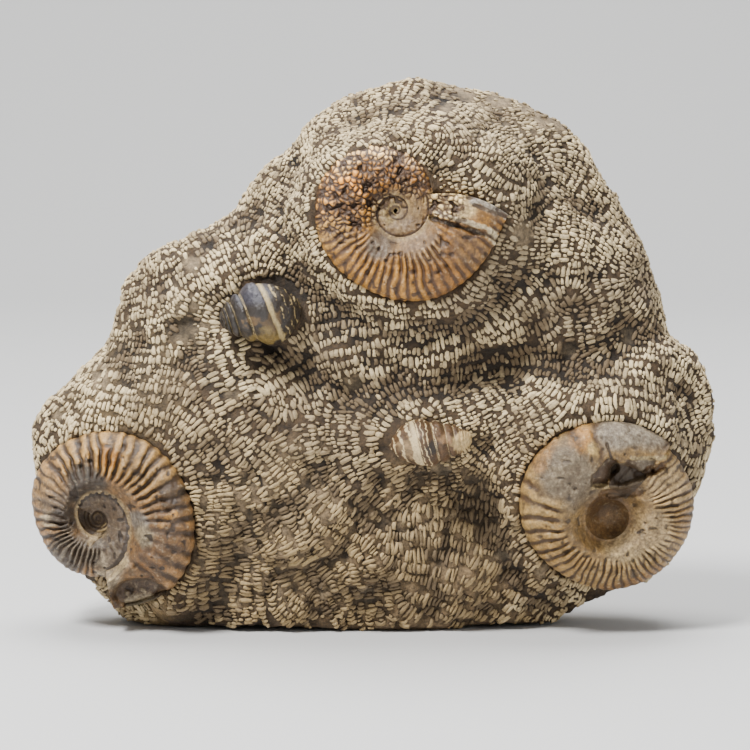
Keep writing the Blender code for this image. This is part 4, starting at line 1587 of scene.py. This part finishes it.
# Places the chisel left bare: x, z and radius in mm.
BARE = [
    (-86, 175, 5.8), (-88, 145, 6.7), (70, 190, 6.2), (82, 244, 6.7), (61, 38, 4.8), (-1, 18, 5.3),
    (-66, 116, 4.3), (80, 30, 4.3), (121, 142, 4.8), (-9, 121, 4.3), (-129, 120, 5.8), (-150, 102, 3.4),
    (-11, 121, 3.8), (92, 135, 4.3), (82, 155, 3.4), (32, 80, 5.8), (-21, 20, 4.3), (45, 256, 7),
    (60, 252, 7), (75, 248, 6), (88, 240, 5), (35, 250, 4),
]
# Round places that the snails take up: x, z and radius in mm.
SNAIL_BEDS = [
    (-46, 155.5, 15.5), (-58, 153, 11), (-67, 151, 5), (14, 93.2, 10.5), (20, 93.7, 10.5), (30, 94.5, 8),
    (39, 95, 5),
]
# Colours of the bare rock, then a drill hole and three cracks.
ROCK_DABS = (
    Dab(-88, 150, 12, "#6E5F49", 0.8), Dab(60, 246, 18, "#62543F", 0.8), Dab(-40, 45, 40, "#75634A", 0.85),
    Dab(30, 40, 40, "#6E5C43", 0.85), Dab(-115, 6, 16, "#87704C", 0.8), Dab(20, 5, 60, "#665237", 0.5),
    Dab(70, 200, 30, "#4A3B28", 0.5), Dab(-120, 120, 30, "#55462F", 0.7),
    *(Dab(x, z, 0.75 * radius, "#7C6B52", 0.9, ragged=0.7) for x, z, radius in BARE),
    Dab(-37.7, 223, 1.6, "#17120D", rise=-1.5, ragged=0.2),
    Dab(27, 253, 0.9, "#2A2118", to=(48, 250), rise=-0.8),
    Dab(-8, 59, 0.7, "#2E241A", to=(-4, 36), rise=-0.7),
    Dab(-53, 78, 0.8, "#2E241A", to=(-49, 61), rise=-0.7),
)
# Where the chisel marks are browner or greyer; the second darkens them along the bottom, partly in their own
# browner colour and partly as painted shade.
MARK_DABS = (
    Dab(-70, 45, 60, "#BDA274", 0.85, to=(40, 40)), Dab(-60, 25, 30, "#A58B5F", 0.7, to=(40, 15)),
    Dab(60, 235, 30, "#C4B088", 0.6), Dab(64, 190, 17, "#9C8A6C", 0.8, to=(50, 165)),
    Dab(-30, 130, 22, "#A89473", 0.7, to=(-20, 105)), Dab(80, 150, 14, "#8E7D62", 0.7, to=(125, 165)),
    Dab(-100, 105, 18, "#B49D74", 0.6, to=(-60, 95)),
)
TOP_SHELL = CoiledShell(
    form=TOP_FORM, ground="#A06F25", lip="#BE9F66",
    rib_lean=0.25, rib_start=(0.14, 0.36), inner_ribs=0.0, sunk=0.5,
    dabs=(
        Dab(-14, 219, 15, "#EA9A32"), Dab(-22, 222, 9, "#E8A44B"), Dab(-12, 229, 9, "#F0BD70"),
        Dab(4, 232, 11, "#F5C67E"), Dab(20, 229, 9, "#EEBD7B"), Dab(-2, 219, 8, "#986522"),
        Dab(10, 216, 10, "#8C5A18"), Dab(20, 213, 8, "#835416"), Dab(-22, 206, 10, "#CA8C3B"),
        Dab(-12, 204, 6, "#8B5E24"), Dab(-20, 192, 9, "#A57B3B"), Dab(13, 200, 13.5, "#A18355"),
        Dab(8, 202, 5, "#A78E5A"), Dab(4, 206, 4, "#634C2E"), Dab(20, 193, 5, "#836B4B"),
        Dab(35, 178, 15, "#8A5919", 0.8), Dab(45, 184, 10, "#855F2D"), Dab(3, 186, 7, "#6E5E4A"),
        Dab(22, 187, 9, "#906F44"), Dab(31, 206, 7.5, "#F4D292", to=(43, 206)),
        Dab(49, 209, 4, "#B7AD9B", to=(62, 203), ragged=0.6),
        Dab(47, 205, 1.0, "#5A4B38", to=(61, 200), rise=-0.8),
        Dab(46, 212, 1.0, "#D8CDB4", to=(60, 206), rise=0.9),
        Dab(27, 199, 1.2, "#2B1F0F", to=(57, 190), rise=-2.4, soft=0.5, ragged=0.5),
        Dab(30, 201.5, 1.0, "#E0CB9E", to=(57, 193), rise=0.8, ragged=0.6),
        Dab(54, 192, 2.2, "#D9C69E", to=(57, 189), rise=0.8),
    ),
    pebbles=(
        (-16, 214, 24, 1.0), (8, 232, 17, 1.0), (20, 222, 14, 1.0), (-28, 202, 10, 0.8), (34, 206, 9, 0.6),
    ),
    smooth_areas=(
        (46, 205, 15, 0.95), (40, 188, 10, 0.7), (3, 186, 7, 0.6), (24, 204, 8, 1.0), (24, 192, 6, 0.8),
    ),
    pitted=1.0,
)
LEFT_SHELL = CoiledShell(
    form=LEFT_FORM, ground="#916A3A", lip="#AA9061", rib_lean=0.35, rib_start=(0.16, 0.4),
    rib_counts=(4.5, 4.5, 5.5, 5.5, 5, 5, 6, 6), wander=0.06,
    dabs=(
        Dab(-142, 88, 12, "#AA8144", to=(-118, 92)), Dab(-103, 85, 14, "#9A7641"),
        Dab(-124, 87, 5, "#9C6A2C"), Dab(-134, 72, 9, "#4D4439"), Dab(-139, 66, 6, "#3B342C"),
        Dab(-156, 70, 9, "#A17B47"), Dab(-152, 62, 6, "#796041"), Dab(-154, 54, 4, "#AD9A77"),
        Dab(-146, 56, 7, "#3C2F1F"), Dab(-144, 40, 9, "#5A4D3C"), Dab(-132, 40, 8, "#5E5242"),
        Dab(-124, 47, 7, "#6D6254"), Dab(-98, 50, 12, "#6A481F"), Dab(-91, 52, 6, "#765328"),
        Dab(-104, 35, 9, "#704C20"), Dab(-110, 56, 5, "#7A7063"), Dab(-107, 49, 5, "#9B8A69"),
        Dab(-93, 68, 7, "#4D371B"), Dab(-99, 55, 1.6, "#A47531", to=(-93, 61)),
        Dab(-132, 55, 8, "#503E25", ragged=0.1),
        Dab(-134, 43.5, 1.3, "#AA9061", to=(-126, 51), rise=0.8, ragged=0.1),
        Dab(-126, 27, 6, "#B09D7E", to=(-120, 37)),
        Dab(-124, 27, 1.2, "#BAA274", to=(-116, 36), rise=0.8, ragged=0.2),
        Dab(-113, 20, 9, "#503A20", to=(-108, 19), rise=-5, soft=0.15, ragged=0.25),
        Dab(-114, 14, 4.5, "#968668", to=(-106, 14), rise=1.5, ragged=0.8),
        Dab(-108, 19, 2, "#A59270", rise=0.8, ragged=0.8),
    ),
    smooth_areas=(
        (-123, 30, 10, 1.0), (-111, 21, 12, 1.0), (-100, 45, 15, 0.65), (-132, 55, 8, 1.0),
        (-155, 66, 11, 0.6), (-138, 70, 9, 0.5), (-112, 55, 8, 0.5),
    ),
    dents=((22, 0.62, 20, 0.42, 7),), inner_ribs=0.25, pitted=1.0,
    navel=(15, 7.5, -2.5, 2.5), inner_colour="#60503D",
)
RIGHT_SHELL = CoiledShell(
    form=RIGHT_FORM, ground="#9B7A44", rib_lean=0.4, rib_start=(0.3, 0.5),
    rib_counts=(3, 3, 4, 5, 7, 8, 9, 8),
    dabs=(
        Dab(82, 57, 14, "#A38249"), Dab(88, 42, 14, "#A07C42"), Dab(112, 18, 8, "#886230", to=(140, 28)),
        Dab(88, 82, 12, "#82735A", to=(96, 76)), Dab(78, 84, 3.5, "#9E7641", to=(82, 95)),
        Dab(98, 96, 6, "#A07131"), Dab(103, 92, 3, "#BC9C5C"), Dab(118, 43, 9, "#C3A672", to=(128, 47)),
        Dab(130, 52, 10, "#C0A270"), Dab(150, 55, 6, "#957242"), Dab(138, 73, 10, "#BC9C69"),
        Dab(114, 101, 9, "#988C78", to=(134, 99)), Dab(111, 57, 11, "#8B6737", soft=0.2, ragged=0.2),
        Dab(106, 62, 6, "#5A3F1C", to=(113, 66)), Dab(115, 54, 5, "#8C6C42", 0.8),
        Dab(109, 68.5, 2.4, "#6A4D28", to=(125, 70.5), rise=-1.6),
        Dab(106, 77, 4.5, "#412B0F", to=(111, 82), rise=-6, soft=0.15, ragged=0.2),
        Dab(117, 79, 5.2, "#756954", to=(127, 82.5), rise=-3, soft=0.15, ragged=0.2),
        Dab(113, 76, 2.0, "#5A4A36", to=(121, 84), rise=-1),
        Dab(124, 79, 1.2, "#4A3B28", to=(119, 85), rise=-0.6),
        Dab(129, 80, 2.0, "#5C3C13", to=(136, 82), rise=-3, soft=0.2),
        Dab(124, 78, 1.4, "#49300F", to=(131, 80), rise=-1.5),
        Dab(103, 73, 1.1, "#CDB37F", to=(116, 72.5), rise=1.4, soft=0.2, ragged=0.15),
        Dab(116, 72.5, 1.1, "#C8AD78", to=(126, 76), rise=1.2, soft=0.2, ragged=0.15),
        Dab(121, 87, 1.0, "#C0A873", to=(137, 86), rise=0.9, ragged=0.3),
        Dab(109, 94, 0.8, "#3F3222", to=(112, 85), rise=-0.8),
        Dab(125, 50, 0.8, "#2B1F10", to=(127, 51.5), rise=-0.6),
    ),
    smooth_areas=(
        (90, 82, 17, 1.0), (119, 45, 11, 0.9), (130, 52, 11, 0.9), (138, 76, 9, 0.6), (122, 98, 18, 1.0),
        (111, 57, 12, 1.0), (118, 78, 14, 1.0),
    ),
    dents=((18, 0.27, 24, 0.16, 11),),
    navel=(15.5, 5, -3.5, 7), rings=0.0, rib_width=1.7, wander=0.05, pitted=0.8,
)
DARK_SNAIL = Snail(
    "snail_left_shell", (-71, 150, 50), (-45, 156, 47), 31, 0.55, 0.2, 0.5, 7, ground="#2B231C",
    dabs=(
        Dab(-62, 165, 5, "#35323A", to=(-52, 164)),
        Dab(-54, 142, 3.5, "#75602F", to=(-46, 145), ragged=0.7), Dab(-55, 151, 3, "#6A5130", ragged=0.9),
        Dab(-45, 152, 4, "#5A4424", ragged=0.9),
    ),
)
BROWN_SNAIL = Snail(
    "snail_middle_shell", (46.5, 96, 58.5), (19, 93.3, 58), 22, 0.68, 0.16, 0.46, 11, ground="#553B1F",
    dabs=(
        Dab(42, 95, 4.5, "#C4A774", ragged=0.6), Dab(17, 92, 4, "#8E7450", ragged=0.9),
        Dab(28, 93, 3, "#33281F"), Dab(20, 97, 2.5, "#A98B5E", ragged=0.8),
        Dab(33, 97, 2.5, "#8A6A48", ragged=0.8),
    ),
    base_reach=0.5,
)


def main() -> None:
    """Build the plate and light it."""
    logging.basicConfig(level=logging.INFO, format="%(name)s: %(message)s")
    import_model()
    top_finish = FossilShell("top_shell_calcite", 0.5, 1.6, "#4A2E12", "#3A2410", "#DCC6A2")
    left_finish = FossilShell("left_shell_calcite", 0.5, 1.6, "#3B2814", "#2E2115", "#C9B491")
    right_finish = FossilShell("right_shell_calcite", 0.52, 1.6, "#4A331A", "#3A2B1A", "#D3C19C")
    dark_finish = BandedSnailShell("dark_snail_calcite", 0.42, 1.58, "#B8A271", 7, 0.12, 0.7)
    brown_finish = BandedSnailShell("brown_snail_calcite", 0.5, 1.58, "#DCC393", 4, 0.4, 0.0)
    plate = FossilPlate(
        nodule=Nodule(OUTLINE, FACE_LUMPS, BACK_LUMPS, ROCK_DABS),
        marks=ChiselMarks(STROKES, BARE, SNAIL_BEDS, MARK_DABS),
        shells=(
            (TOP_SHELL, top_finish, Slot.TAN),
            (LEFT_SHELL, left_finish, Slot.BROWN),
            (RIGHT_SHELL, right_finish, Slot.CREAM),
        ),
        snails=((DARK_SNAIL, dark_finish, Slot.DARK_SNAIL), (BROWN_SNAIL, brown_finish, Slot.BROWN_SNAIL)),
    )
    plate.build()
    Studio().build()


if __name__ == "__main__":
    main()
